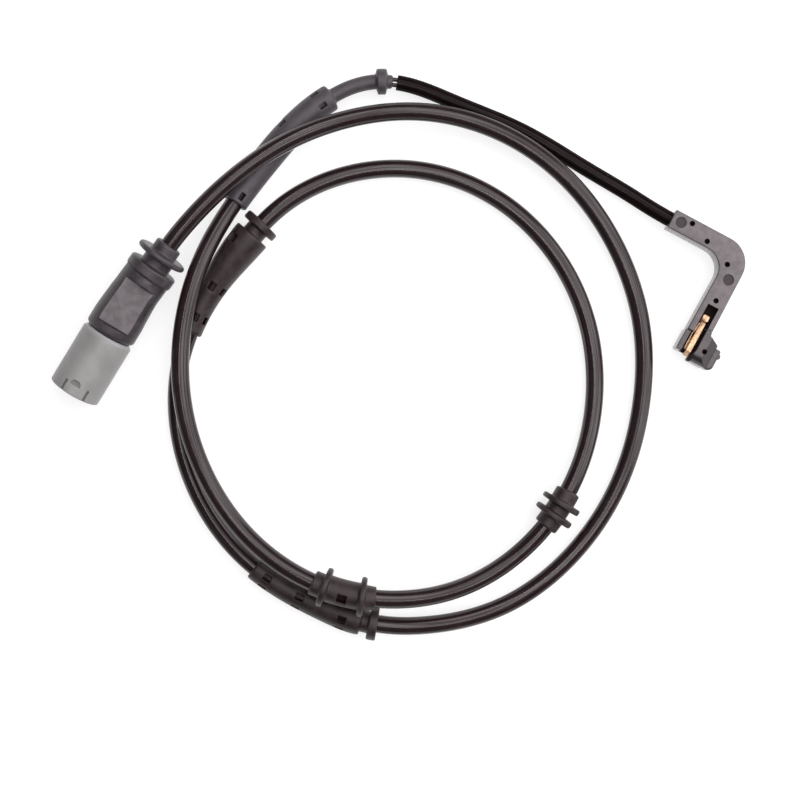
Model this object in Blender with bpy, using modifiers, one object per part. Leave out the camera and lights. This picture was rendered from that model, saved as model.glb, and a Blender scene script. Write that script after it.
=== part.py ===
"""Brake pad wear sensor: a plug, one long cable with moulded grommets, and an L-shaped sensor head.

The harness lies flat in a loose spiral. Its floor is z = 0 and its origin is under the middle of the
rigid pieces. Every piece on the cable is placed by its station, the distance along the harness route
from the back of the plug's collar. Local axes on the route are x to the left, y up and z forwards.
"""

import math
from dataclasses import dataclass

import bmesh
import bpy
import numpy as np
from mathutils import Matrix, Vector

MM = 0.001
COLLECTION_NAME = "brake_pad_wear_sensor"
CUTTER_COLLECTION_NAME = "cutters"

# Clearances
GAP = 0.3 * MM
CUT_MARGIN = 1.0 * MM
WINDOW_CUT_DEPTH = 0.5 * MM
EDGE = 0.35 * MM
WELD_DISTANCE = 0.00001

# Facets round each kind of piece
PLUG_SIDES = 32
GROMMET_SIDES = 24
SMALL_SIDES = 16
CABLE_BEVEL_RESOLUTION = 3
WIRE_BEVEL_RESOLUTION = 2
BORE_BEVEL_RESOLUTION = 6
ARC_STEP_DEG = 15.0
SHARP_ANGLE_DEG = 40.0
BEVEL_ANGLE_DEG = 50.0
CORE_STEPS = 8
LOOP_STEPS = 8
NOSE_ROUND_STEPS = 6

# Harness route, points chosen by hand, in millimetres
HARNESS_POINTS = [
    (-79.4, 5.6, 9.37), (-76.6, 10.0, 9.96), (-72.1, 16.7, 10.85), (-67.3, 23.0, 11.75),
    (-62.1, 30.0, 12.75), (-54.6, 38.7, 13.5), (-47.2, 45.9, 13.45), (-41.3, 50.75, 13.15),
    (-33.9, 55.8, 12.8), (-16.2, 63.6, 11.3), (5.7, 66.7, 8.5), (28.5, 61.3, 6.1),
    (48.3, 47.1, 4.7), (60.6, 29.8, 3.0), (67.3, 10.0, 2.55), (67.6, -12.9, 2.55),
    (61.4, -35.5, 2.55), (47.8, -56.0, 2.55), (28.9, -69.8, 3.0), (7.6, -74.9, 4.4),
    (-6.3, -74.4, 4.85), (-20.4, -70.0, 4.3), (-33.9, -63.2, 3.9), (-46.9, -52.1, 3.4),
    (-57.1, -35.7, 2.8), (-61.8, -13.9, 2.75), (-60.6, -1.6, 3.2), (-53.5, 15.6, 4.1),
    (-40.3, 33.4, 5.6), (-32.7, 40.9, 5.2), (-19.0, 48.8, 3.0), (3.8, 51.7, 2.65),
    (27.1, 43.7, 2.55), (44.1, 27.2, 2.55), (53.1, 6.4, 2.6), (53.6, -18.6, 3.1),
    (46.2, -38.9, 5.85), (37.4, -50.9, 5.4), (21.4, -62.4, 7.2), (2.7, -66.8, 11.6),
    (-15.0, -65.1, 12.4), (-29.8, -58.9, 11.7), (-43.4, -47.6, 10.3), (-53.6, -31.9, 9.6),
    (-59.1, -13.7, 9.5), (-59.5, 4.6, 9.9), (-55.7, 21.8, 9.3), (-52.0, 30.6, 8.4), (-45.8, 41.3, 6.8),
    (-35.2, 55.7, 5.6), (-19.2, 71.2, 4.3), (-10.3, 75.2, 3.9), (-0.9, 75.7, 3.6),
    (15.6, 70.4, 2.4), (34.7, 62.3, 2.2), (52.3, 51.9, 2.15), (64.5, 44.5, 2.6),
    (71.4, 40.0, 3.3),
]
SAMPLES_PER_SPAN = 60

# Cable and thin wires
CABLE_RADIUS = 2.5 * MM
CABLE_START = 13.1 * MM
CABLE_POINT_SPACING = 12.2 * MM
WIRE_RADIUS = 0.6 * MM
WIRE_PITCH = 1.5 * MM
WIRE_POINT_SPACING = 4.4 * MM

# Plug collar
COLLAR_RADIUS = 7.25 * MM
COLLAR_LENGTH = 18.7 * MM
COLLAR_BORE_RADIUS = 6.15 * MM
COLLAR_BACK_WALL = 1.6 * MM
COLLAR_BACK_EDGE = 1.0 * MM
COLLAR_BACK_SLOPE = 0.3
COLLAR_MOUTH_EDGE = 0.3 * MM
PLUG_ROLL_DEG = 9.0
TONGUE_HALF_ANGLE_DEG = 27.0
TONGUE_SLOT_LENGTH = 3.3 * MM
TONGUE_SLOT_WIDTH = 0.75 * MM
TONGUE_SLOT_DEPTH = 0.6 * MM
DENT_ANGLE_DEG = -5.0
DENT_FROM_MOUTH = 2.8 * MM
DENT_LENGTH = 1.6 * MM
DENT_WIDTH = 3.0 * MM
DENT_DEPTH = 0.5 * MM
DENT_ROUNDING = 0.8

# Contact carrier, seal, contacts and cable cores in the plug
INSERT_CLEARANCE = 0.4 * MM
INSERT_FACE_FROM_MOUTH = 9.0 * MM
INSERT_NECK_RADIUS = 4.2 * MM
INSERT_NECK_LENGTH = 6.0 * MM
SPIGOT_RADIUS = 3.6 * MM
SPIGOT_LENGTH = 2.2 * MM
SEAL_THICKNESS = 1.8 * MM
SEAL_EDGE = 0.4 * MM
CONTACT_PITCH = 3.6 * MM
CONTACT_RADIUS = 1.0 * MM
CONTACT_HOLE_RADIUS = 0.6 * MM
CONTACT_LENGTH = 12.0 * MM
CONTACT_RECESS = 0.6 * MM
CORE_RADIUS = 0.75 * MM
CORE_END_PITCH = 2.2 * MM
CORE_CAVITY_RADIUS = 3.5 * MM

# Plug boot, stations along the route from the back of the collar
BOOT_FRONT_RADIUS = 7.15 * MM
BOOT_FRONT_EDGE = 0.7 * MM
BOOT_WAIST_RADIUS = 6.55 * MM
BOOT_WAIST_STATION = 14.1 * MM
BOOT_STRAIGHT_END = 5.1 * MM
BOOT_TAPER_MIDDLE = 0.6
BOOT_RING_RADIUS = 6.95 * MM
BOOT_RING_START = 19.5 * MM
BOOT_RING_WIDTH = 3.0 * MM
BOOT_NECK_RADIUS = 4.25 * MM
BOOT_NECK_LENGTH = 2.7 * MM
BOOT_DISC_RADIUS = 7.15 * MM
BOOT_DISC_WIDTH = 1.6 * MM
BOOT_DISC_EDGE = 0.7 * MM
BOOT_STUB_RADIUS = 3.75 * MM
BOOT_STUB_LENGTH = 2.9 * MM
PANEL_START = 3.0 * MM
PANEL_LENGTH = 13.8 * MM
PANEL_HEIGHT = 5.6 * MM
PANEL_SLOPE_DEG = 3.0

# Grommets: the station of the end nearer to the plug, then each one's own sizes
LOWER_START = 331.43 * MM
UPPER_START = 441.33 * MM
SPOOL_START = 641.23 * MM
WINDOW_START = 706.43 * MM
TAIL_START = 845.83 * MM

LONG_FLANGE_RADIUS = 4.8 * MM
LONG_FLANGE_WIDTH = 2.4 * MM
LONG_NECK_RADIUS = 3.15 * MM
LONG_NECK_LENGTH = 2.1 * MM
LONG_HEAD_RADIUS = 4.3 * MM
LONG_TAIL_RADIUS = 3.5 * MM
LONG_BODY_LENGTH = 33.2 * MM
LONG_WINDOW_LENGTH = 1.9 * MM
LONG_WINDOW_WIDTH = 2.5 * MM
LONG_SWELL = ((0.0, 0.9), (0.1, 1.0), (0.25, 0.75), (0.42, 0.4), (0.6, 0.18), (0.8, 0.05), (1.0, 0.0))
LONG_WINDOW_ROWS = ((0.155, 70.0, 12.0), (0.55, 92.0, 8.0), (0.86, 92.0, 8.0))

UPPER_FLANGE_RADIUS = 5.2 * MM
UPPER_FLANGE_WIDTH = 2.2 * MM
UPPER_NECK_RADIUS = 3.2 * MM
UPPER_NECK_LENGTH = 2.2 * MM
UPPER_HEAD_RADIUS = 5.2 * MM
UPPER_TAIL_RADIUS = 3.4 * MM
UPPER_BODY_LENGTH = 32.6 * MM
UPPER_SWELL = (
    (0.0, 0.0), (0.15, 0.04), (0.32, 0.14), (0.5, 0.35), (0.68, 0.66), (0.85, 0.92), (0.97, 1.0),
)
UPPER_WINDOW_ROWS = ((0.15, 95.0, 172.0), (0.45, 92.0, 172.0), (0.88, 48.0, 14.0))

SPOOL_FLANGE_RADIUS = 5.65 * MM
SPOOL_FLANGE_WIDTH = 1.6 * MM
SPOOL_GROOVE_WIDTH = 2.15 * MM
SPOOL_GROOVE_RADIUS = 3.35 * MM
SPOOL_BOOT_RADIUS = 3.45 * MM
SPOOL_BOOT_LENGTH = 3.2 * MM

RING_RADIUS = 5.5 * MM
RING_WIDTH = 1.7 * MM
RING_EDGE = 0.56 * MM
WINDOW_BODY_RADIUS = 3.75 * MM
WINDOW_BODY_LENGTH = 8.8 * MM
WINDOW_BOOT_RADIUS = 3.45 * MM
WINDOW_BOOT_TIP_RADIUS = 3.2 * MM
WINDOW_BOOT_LENGTH = 2.85 * MM
RING_WINDOW_LENGTH = 2.1 * MM
RING_WINDOW_WIDTH = 2.9 * MM
RING_WINDOW_ANGLE_DEG = 57.0

TAIL_BODY_RADIUS = 4.0 * MM
TAIL_END_RADIUS = 3.75 * MM
TAIL_BODY_LENGTH = 40.4 * MM
TAIL_ROUNDING = 0.8 * MM
TAIL_WINDOW_LENGTH = 2.3 * MM
TAIL_WINDOW_WIDTH = 1.6 * MM
TAIL_BULGE_SHARES = (0.25, 0.45, 0.65, 0.85)
TAIL_WINDOW_ROWS = ((0.055, 112.0, 40.0), (0.62, 42.0, 12.0), (0.905, 112.0, 40.0))
CABLE_END_IN_TAIL = 29.0 * MM
ELBOW_CLEARANCE = 1.0 * MM

# Elbow and sleeve
ELBOW_RADIUS = 2.05 * MM
ELBOW_RING_SPACING = 3.0 * MM
ELBOW_FLANGE_RADIUS = 3.55 * MM
ELBOW_REACH = 13.1 * MM
ELBOW_FLANGE_WIDTH = 3.3 * MM
ELBOW_RIM_WIDTH = 2.4 * MM
ELBOW_DOME_RADIUS = 1.9 * MM
ELBOW_DOME_LENGTH = 1.4 * MM
WIRES_SHOWN = 1.2 * MM
SLEEVE_END_GAP = 0.5 * MM
SLEEVE_RADIUS = 2.1 * MM
SLEEVE_BORE_RADIUS = 1.72 * MM
SLEEVE_END_RADIUS = 2.45 * MM
SLEEVE_FLARE_LENGTH = 8.0 * MM
SLEEVE_POINT_SPACING = 5.6 * MM
SLEEVE_BEVEL_RESOLUTION = 4

# Sensor head: u runs down the second arm to the nose, v across it to the outer side
HEAD_ORIGIN_X = 83.15 * MM
HEAD_ORIGIN_Y = 6.74 * MM
HEAD_ANGLE_DEG = -118.2
HEAD_HEIGHT = 7.0 * MM
HEAD_EDGE = 0.3 * MM
ARM_END_V = -21.4 * MM
ARM_OUTER_U = -26.3 * MM
ARM_FIRST_WIDTH = 5.4 * MM
ARM_SECOND_WIDTH = 6.0 * MM
ARM_NOSE_WIDTH = 6.5 * MM
ARM_OUTER_FILLET = 7.5 * MM
ARM_INNER_FILLET = 5.8 * MM
ARM_NECK_RADIUS = 2.55 * MM
ARM_NECK_LENGTH = 1.4 * MM
SLOT_START_U = -7.5 * MM
SLOT_LEFT_V = -1.5 * MM
SLOT_RIGHT_V = 1.7 * MM
SLOT_FLOOR_HEIGHT = 3.0 * MM
BODY_SPLIT_U = -1.3 * MM
FINGER_SPLIT_U = 1.25 * MM
CHANNEL_V = 0.9 * MM
CHANNEL_ENTRY_HEIGHT = 3.5 * MM
CHANNEL_LOW_HEIGHT = 1.5 * MM
CHANNEL_BEND_RADIUS = 4.5 * MM
PIN_RADIUS = 0.7 * MM
PIN_DEPTH = 2.2 * MM
PIN_PLACES = [(-24.9 * MM, -15.8 * MM), (-22.5 * MM, -9.9 * MM), (-19.5 * MM, -2.0 * MM), (-9.2 * MM, 0.0)]
MARK_RADIUS = 1.5 * MM
MARK_DEPTH = 0.2 * MM
MARK_PLACES = [(-23.7 * MM, -18.7 * MM), (-15.9 * MM, 0.3 * MM)]

# Nose
FINGER_END_U = 7.4 * MM
FINGER_INNER_V = -2.05 * MM
FINGER_OUTER_V = -3.6 * MM
NOSE_FLOOR_END_U = 7.3 * MM
NOSE_LEFT_V = 0.95 * MM
NOSE_TAPER_U = 5.4 * MM
NOSE_TAPER_END_U = 7.9 * MM
NOSE_NECK_U = 0.1 * MM
NOSE_NECK_V = 3.4 * MM
NOSE_NECK_SLANT = 0.3 * MM
NOSE_SHOULDER_U = 1.3 * MM
NOSE_SIDE_V = 6.7 * MM
NOSE_END_U = 8.7 * MM
NOSE_CORNER_FILLET = 1.5 * MM
NOSE_END_FILLET = 0.4 * MM
NOSE_SHOULDER_FILLET = 0.5 * MM
FINGER_FILLET = 0.5 * MM
NOSE_ROUND_RADIUS = 3.0 * MM
NOSE_SLOPE_V = 4.05 * MM
NOSE_LEDGE_U = 2.1 * MM
NOSE_LEDGE_V = 8.35 * MM
NOSE_LEDGE_HEIGHT = 4.6 * MM
NOSE_LEDGE_EDGE = 0.7 * MM
NOSE_LEDGE_FILLET = 0.6 * MM
NOSE_PIN_PLACE = (4.7 * MM, 3.9 * MM)
KNOB_PLACE = (3.8 * MM, 8.1 * MM)
KNOB_RADIUS = 0.9 * MM
KNOB_BOTTOM = 1.2 * MM
KNOB_TOP = 3.6 * MM
LOOP_TURN_U = 5.2 * MM

# Spring clip
CLIP_THICKNESS = 0.3 * MM
CLIP_WIDTH = 1.4 * MM
CLIP_RIGHT_V = 0.6 * MM
CLIP_LEFT_V = -1.05 * MM
CLIP_BACK_U = -4.7 * MM
CLIP_TAB_LENGTH = 1.7 * MM
CLIP_TAB_OVERHANG = 0.2 * MM
CLIP_DIP_WIDTH = 0.8 * MM
CLIP_DIP_DEPTH = 0.9 * MM
CLIP_TOP_HEIGHT = 6.3 * MM
CLIP_BEND_U = 6.5 * MM
CLIP_END_U = 7.8 * MM
CLIP_END_HEIGHT = 4.3 * MM
CLIP_FOOT_END_U = 6.3 * MM
CLIP_FLANGE_START_U = -1.8 * MM
CLIP_FLANGE_END_U = 6.2 * MM
CLIP_FLANGE_SLANT = 0.8 * MM
CLIP_FLANGE_THICKNESS = 0.25 * MM


@dataclass(frozen=True)
class Finish:
    """The plain look of one moulding or metal: colour, roughness and metallic value."""

    name: str
    color: tuple
    roughness: float
    metallic: float = 0.0


JACKET = Finish("jacket", (0.012, 0.010, 0.010), 0.28)
GLOSS_SLEEVE = Finish("gloss_sleeve", (0.008, 0.007, 0.008), 0.2)
BLACK_RUBBER = Finish("black_rubber", (0.035, 0.029, 0.029), 0.6)
GREY_RUBBER = Finish("grey_rubber", (0.055, 0.05, 0.06), 0.6)
COLLAR_PLASTIC = Finish("collar_plastic", (0.26, 0.27, 0.265), 0.45)
CARRIER_PLASTIC = Finish("carrier_plastic", (0.03, 0.03, 0.032), 0.5)
SEAL_RUBBER = Finish("seal_rubber", (0.25, 0.05, 0.03), 0.6)
WIRE_INSULATION = Finish("wire_insulation", (0.02, 0.018, 0.018), 0.35)
HEAD_PLASTIC = Finish("head_plastic", (0.075, 0.068, 0.072), 0.45)
NOSE_PLASTIC = Finish("nose_plastic", (0.055, 0.05, 0.053), 0.4)
CONTACT_METAL = Finish("contact_metal", (0.75, 0.72, 0.65), 0.3, 1.0)
COPPER = Finish("copper", (0.85, 0.45, 0.25), 0.3, 1.0)


@dataclass(frozen=True)
class Window:
    """A rectangular window: its place and size on a grommet, its angle from the left side upwards."""

    offset: float
    angle_deg: float
    length: float
    width: float


class Route:
    """A smooth curve through the hand-chosen points, addressed by the distance along it."""

    def __init__(self, points):
        knots = np.array(points, dtype=float)
        spans = np.linalg.norm(np.diff(knots, axis=0), axis=1)
        places = np.concatenate(([0.0], np.cumsum(spans)))
        bends = self._second_derivatives(places, knots)
        samples = []
        for i, span in enumerate(spans):
            for step in range(SAMPLES_PER_SPAN):
                b = step / SAMPLES_PER_SPAN
                a = 1.0 - b
                curve = (a ** 3 - a) * bends[i] + (b ** 3 - b) * bends[i + 1]
                samples.append(a * knots[i] + b * knots[i + 1] + curve * span ** 2 / 6.0)
        samples.append(knots[-1])
        self.samples = np.array(samples)
        steps = np.linalg.norm(np.diff(self.samples, axis=0), axis=1)
        self.stations = np.concatenate(([0.0], np.cumsum(steps)))
        self.tangents = np.gradient(self.samples, self.stations, axis=0)
        self.length = float(self.stations[-1])

    @staticmethod
    def _second_derivatives(places, knots):
        """Second derivatives of the natural cubic spline at its knots."""
        count = len(knots)
        matrix = np.eye(count)
        right = np.zeros_like(knots)
        for i in range(1, count - 1):
            before = places[i] - places[i - 1]
            after = places[i + 1] - places[i]
            matrix[i, i - 1] = before / 6.0
            matrix[i, i] = (before + after) / 3.0
            matrix[i, i + 1] = after / 6.0
            right[i] = (knots[i + 1] - knots[i]) / after - (knots[i] - knots[i - 1]) / before
        return np.linalg.solve(matrix, right)

    def _look_up(self, table, station):
        return Vector([float(np.interp(station, self.stations, table[:, i])) for i in range(3)])

    def tangent(self, station):
        return self._look_up(self.tangents, station).normalized()

    def point(self, station):
        """The point at a station; beyond either end the route goes straight on."""
        inside = min(max(station, 0.0), self.length)
        return self._look_up(self.samples, inside) + self.tangent(inside) * (station - inside)

    def frame(self, station):
        """Matrix with local x to the left, y up and z forwards at a station."""
        forwards = self.tangent(station)
        left = Vector((0.0, 0.0, 1.0)).cross(forwards).normalized()
        up = forwards.cross(left)
        matrix = Matrix((left, up, forwards)).transposed().to_4x4()
        matrix.translation = self.point(station)
        return matrix

    def station_near(self, point):
        """The station whose point on the route is nearest to a point beside it."""
        distances = np.linalg.norm(self.samples - np.array(point), axis=1)
        nearest = int(np.argmin(distances))
        rest = point - Vector(self.samples[nearest])
        return float(self.stations[nearest]) + rest.dot(Vector(self.tangents[nearest]))

    def spread(self, start, end, spacing, side_offset=0.0):
        """Evenly spaced points from one station to another, moved to the left by side_offset."""
        count = max(2, int(round((end - start) / spacing)) + 1)
        stations = np.linspace(start, end, count)
        return [self.frame(float(s)) @ Vector((side_offset, 0.0, 0.0)) for s in stations]


def clear_scene():
    for existing in list(bpy.data.objects):
        bpy.data.objects.remove(existing, do_unlink=True)


def make_collection(name):
    collection = bpy.data.collections.new(name)
    bpy.context.scene.collection.children.link(collection)
    return collection


def make_material(finish):
    material = bpy.data.materials.get(finish.name)
    if material is None:
        material = bpy.data.materials.new(finish.name)
        material.use_nodes = True
        shader = material.node_tree.nodes["Principled BSDF"]
        shader.inputs["Base Color"].default_value = (*finish.color, 1.0)
        shader.inputs["Roughness"].default_value = finish.roughness
        shader.inputs["Metallic"].default_value = finish.metallic
    return material


def head_matrix():
    """Matrix of the sensor head: local x is u, y is v and z is up."""
    angle = math.radians(HEAD_ANGLE_DEG)
    along = Vector((math.cos(angle), math.sin(angle), 0.0))
    across = Vector((-along.y, along.x, 0.0))
    matrix = Matrix((along, across, Vector((0.0, 0.0, 1.0)))).transposed().to_4x4()
    matrix.translation = (HEAD_ORIGIN_X, HEAD_ORIGIN_Y, 0.0)
    return matrix


HEAD = head_matrix()


def head_channel_points():
    """The wires' way through the head: in at the arm's end, round the bend and down the second arm."""
    entry_u = ARM_OUTER_U + ARM_FIRST_WIDTH / 2.0
    bend_v = CHANNEL_V - CHANNEL_BEND_RADIUS
    turn = CHANNEL_BEND_RADIUS * (1.0 - math.sqrt(0.5))
    drop = (CHANNEL_LOW_HEIGHT - CHANNEL_ENTRY_HEIGHT) / 4.0
    places = [
        (entry_u, ARM_END_V, CHANNEL_ENTRY_HEIGHT),
        (entry_u, (ARM_END_V + bend_v) / 2.0, CHANNEL_ENTRY_HEIGHT),
        (entry_u, bend_v, CHANNEL_ENTRY_HEIGHT + drop),
        (entry_u + turn, CHANNEL_V - turn, CHANNEL_ENTRY_HEIGHT + 2.0 * drop),
        (entry_u + CHANNEL_BEND_RADIUS, CHANNEL_V, CHANNEL_ENTRY_HEIGHT + 3.0 * drop),
        ((entry_u + CHANNEL_BEND_RADIUS + SLOT_START_U) / 2.0, CHANNEL_V, CHANNEL_LOW_HEIGHT),
        (SLOT_START_U, CHANNEL_V, CHANNEL_LOW_HEIGHT),
        (BODY_SPLIT_U, CHANNEL_V, CHANNEL_LOW_HEIGHT),
        (FINGER_SPLIT_U, CHANNEL_V, CHANNEL_LOW_HEIGHT),
    ]
    return [HEAD @ Vector(place) for place in places]


class Workshop:
    """Makes meshes, cuts them and files them as parts or cutters."""

    def __init__(self):
        self.parts = make_collection(COLLECTION_NAME)
        self.cutters = make_collection(CUTTER_COLLECTION_NAME)

    def _add(self, name, data, as_cutter):
        item = bpy.data.objects.new(name, data)
        (self.cutters if as_cutter else self.parts).objects.link(item)
        if as_cutter:
            item.hide_render = True
            item.display_type = "WIRE"
        return item

    def curve_tube(self, name, points, radius, bevel_resolution, radii=None, as_cutter=False):
        """A tube along a polyline; radii, if given, are its radius at each point."""
        curve = bpy.data.curves.new(name, "CURVE")
        curve.dimensions = "3D"
        curve.bevel_depth = radius
        curve.bevel_resolution = bevel_resolution
        curve.use_fill_caps = True
        spline = curve.splines.new("POLY")
        spline.points.add(len(points) - 1)
        for i, point in enumerate(points):
            spline.points[i].co = (*point, 1.0)
            spline.points[i].radius = 1.0 if radii is None else radii[i] / radius
        return self._add(name, curve, as_cutter)

    def prism(self, name, outline, bottom, top, matrix=None, as_cutter=False):
        """A flat outline given some height, as a mesh with welded caps."""
        curve = bpy.data.curves.new(name, "CURVE")
        curve.dimensions = "2D"
        curve.fill_mode = "BOTH"
        curve.extrude = (top - bottom) / 2.0
        spline = curve.splines.new("POLY")
        spline.points.add(len(outline) - 1)
        for i, (x, y) in enumerate(outline):
            spline.points[i].co = (x, y, 0.0, 1.0)
        spline.use_cyclic_u = True
        flat = self._add(name, curve, as_cutter)
        base = Matrix.Identity(4) if matrix is None else matrix
        flat.matrix_world = base @ Matrix.Translation((0.0, 0.0, (bottom + top) / 2.0))
        return self.as_mesh(flat, as_cutter)

    def box(self, name, low, high, matrix=None, as_cutter=True):
        mesh = bpy.data.meshes.new(name)
        shape = bmesh.new()
        size = [h - l for l, h in zip(low, high)]
        middle = [(h + l) / 2.0 for l, h in zip(low, high)]
        bmesh.ops.create_cube(shape, matrix=Matrix.Translation(middle) @ Matrix.Diagonal((*size, 1.0)))
        shape.to_mesh(mesh)
        shape.free()
        item = self._add(name, mesh, as_cutter)
        if matrix is not None:
            item.matrix_world = matrix
        return item

    def drum(self, name, radius, bottom, top, matrix, sides=SMALL_SIDES, as_cutter=True):
        """A plain cylinder standing on its local z axis."""
        mesh = bpy.data.meshes.new(name)
        shape = bmesh.new()
        place = Matrix.Translation((0.0, 0.0, (bottom + top) / 2.0))
        bmesh.ops.create_cone(shape, cap_ends=True, segments=sides, radius1=radius, radius2=radius,
                              depth=top - bottom, matrix=place)
        shape.to_mesh(mesh)
        shape.free()
        item = self._add(name, mesh, as_cutter)
        item.matrix_world = matrix
        return item

    def turned(self, name, profile, sides, as_cutter=False, closed=False):
        """A turned solid from (distance, radius) pairs, with the distance along local z."""
        mesh = bpy.data.meshes.new(name)
        shape = bmesh.new()
        corners = [shape.verts.new((r, 0.0, z)) for z, r in reversed(profile)]
        for first, second in zip(corners, corners[1:]):
            shape.edges.new((first, second))
        if closed:
            shape.edges.new((corners[-1], corners[0]))
        shape.to_mesh(mesh)
        shape.free()
        item = self._add(name, mesh, as_cutter)
        screw = item.modifiers.new("turn", "SCREW")
        screw.steps = sides
        screw.render_steps = sides
        screw.use_merge_vertices = True
        screw.merge_threshold = WELD_DISTANCE
        return item

    def cut(self, item, cutter, solver="EXACT"):
        self._boolean(item, cutter, "DIFFERENCE", solver)

    def join(self, item, addition):
        self._boolean(item, addition, "UNION", "EXACT")

    @staticmethod
    def _boolean(item, other, operation, solver):
        step = item.modifiers.new(other.name, "BOOLEAN")
        step.operation = operation
        step.solver = solver
        step.object = other

    def bevel(self, item, width):
        edge = item.modifiers.new("edge", "BEVEL")
        edge.width = width
        edge.segments = 1
        edge.limit_method = "ANGLE"
        edge.angle_limit = math.radians(BEVEL_ANGLE_DEG)

    def as_mesh(self, item, as_cutter=False):
        """Replace an object by a plain mesh of what its modifiers or curve make."""
        bpy.context.view_layer.update()
        name = item.name
        evaluated = item.evaluated_get(bpy.context.evaluated_depsgraph_get())
        mesh = bpy.data.meshes.new_from_object(evaluated)
        matrix = item.matrix_world.copy()
        bpy.data.objects.remove(item, do_unlink=True)
        shape = bmesh.new()
        shape.from_mesh(mesh)
        bmesh.ops.remove_doubles(shape, verts=shape.verts, dist=WELD_DISTANCE)
        bmesh.ops.recalc_face_normals(shape, faces=shape.faces)
        shape.to_mesh(mesh)
        shape.free()
        fresh = self._add(name, mesh, as_cutter)
        fresh.matrix_world = matrix
        return fresh

    def bend(self, item, route, start):
        """Lay a straight piece, drawn along local z, on the route with its zero at a station."""
        mesh = item.data
        shape = bmesh.new()
        shape.from_mesh(mesh)
        bmesh.ops.triangulate(shape, faces=shape.faces)
        for vert in shape.verts:
            frame = route.frame(start + vert.co.z)
            vert.co = frame @ Vector((vert.co.x, vert.co.y, 0.0))
        shape.to_mesh(mesh)
        shape.free()

    def finish(self, item, finish):
        """Make a piece a plain mesh, with its material and smooth shading between sharp edges."""
        piece = self.as_mesh(item)
        piece.data.materials.clear()
        piece.data.materials.append(make_material(finish))
        piece.data.shade_smooth()
        piece.data.set_sharp_from_angle(angle=math.radians(SHARP_ANGLE_DEG))
        return piece


def rounded_step(start, end, radius, edge):
    """Profile points of a disc or drum with small slopes at both rims."""
    return [(start, radius - edge), (start + edge, radius), (end - edge, radius), (end, radius - edge)]


def filleted_outline(corners):
    """Outline through (x, y, fillet radius) corners, each fillet drawn as a round arc."""
    outline = []
    count = len(corners)
    for i, (x, y, radius) in enumerate(corners):
        corner = Vector((x, y))
        if radius == 0.0:
            outline.append((x, y))
            continue
        before = (Vector(corners[i - 1][:2]) - corner).normalized()
        after = (Vector(corners[(i + 1) % count][:2]) - corner).normalized()
        half = before.angle(after) / 2.0
        centre = corner + (before + after).normalized() * (radius / math.sin(half))
        first = corner + before * (radius / math.tan(half)) - centre
        last = corner + after * (radius / math.tan(half)) - centre
        sweep = first.angle_signed(last)
        steps = max(2, int(round(abs(math.degrees(sweep)) / ARC_STEP_DEG)))
        for step in range(steps + 1):
            outline.append(tuple(centre + Matrix.Rotation(-sweep * step / steps, 2) @ first))
    return outline


def window_cutters(shop, name, windows, outer_radius):
    """Boxes that open windows from a grommet's outside into its cable bore."""
    cutters = []
    inner = CABLE_RADIUS - WINDOW_CUT_DEPTH
    for i, window in enumerate(windows):
        low = (inner, -window.width / 2.0, window.offset - window.length / 2.0)
        high = (outer_radius + CUT_MARGIN, window.width / 2.0, window.offset + window.length / 2.0)
        turn = Matrix.Rotation(math.radians(window.angle_deg), 4, "Z")
        cutters.append(shop.box(f"{name}_window_{i + 1}", low, high, turn))
    return cutters


def bore_radius(radius):
    """Radius of a faceted bore whose flats still clear a round piece of the given radius."""
    sides = 2 * BORE_BEVEL_RESOLUTION + 4
    return (radius + GAP) / math.cos(math.pi / sides)


def polyline_part(points, route, start, end):
    """The stretch of a polyline that covers two stations, made a little longer at both ends."""
    stations = [route.station_near(point) for point in points]
    first = max([i for i, s in enumerate(stations) if s < start - CUT_MARGIN], default=0)
    last = min([i for i, s in enumerate(stations) if s > end + CUT_MARGIN], default=len(points) - 1)
    part = [point.copy() for point in points[first:last + 1]]
    part[0] += (part[0] - part[1]).normalized() * CUT_MARGIN
    part[-1] += (part[-1] - part[-2]).normalized() * CUT_MARGIN
    return part


def moulded_on_cable(shop, route, cable_points, name, profile, start, windows, finish):
    """A grommet moulded round the cable: turned, windowed, bent to the route and bored."""
    outer = max(radius for _, radius in profile)
    straight = shop.turned(name, [(profile[0][0], 0.0)] + profile + [(profile[-1][0], 0.0)], GROMMET_SIDES)
    for cutter in window_cutters(shop, name, windows, outer):
        shop.cut(straight, cutter)
    body = shop.as_mesh(straight)
    shop.bend(body, route, start)
    stretch = polyline_part(cable_points, route, start, start + profile[-1][0])
    bore = shop.curve_tube(f"{name}_bore", stretch, bore_radius(CABLE_RADIUS), BORE_BEVEL_RESOLUTION,
                           as_cutter=True)
    shop.cut(body, shop.as_mesh(bore, as_cutter=True))
    shop.finish(body, finish)
    return body


def plug_frame(route):
    """Matrix of the plug's straight pieces: z runs from the mouth to the cable, rolled about it."""
    return route.frame(0.0) @ Matrix.Rotation(math.radians(PLUG_ROLL_DEG), 4, "Z")


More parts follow.
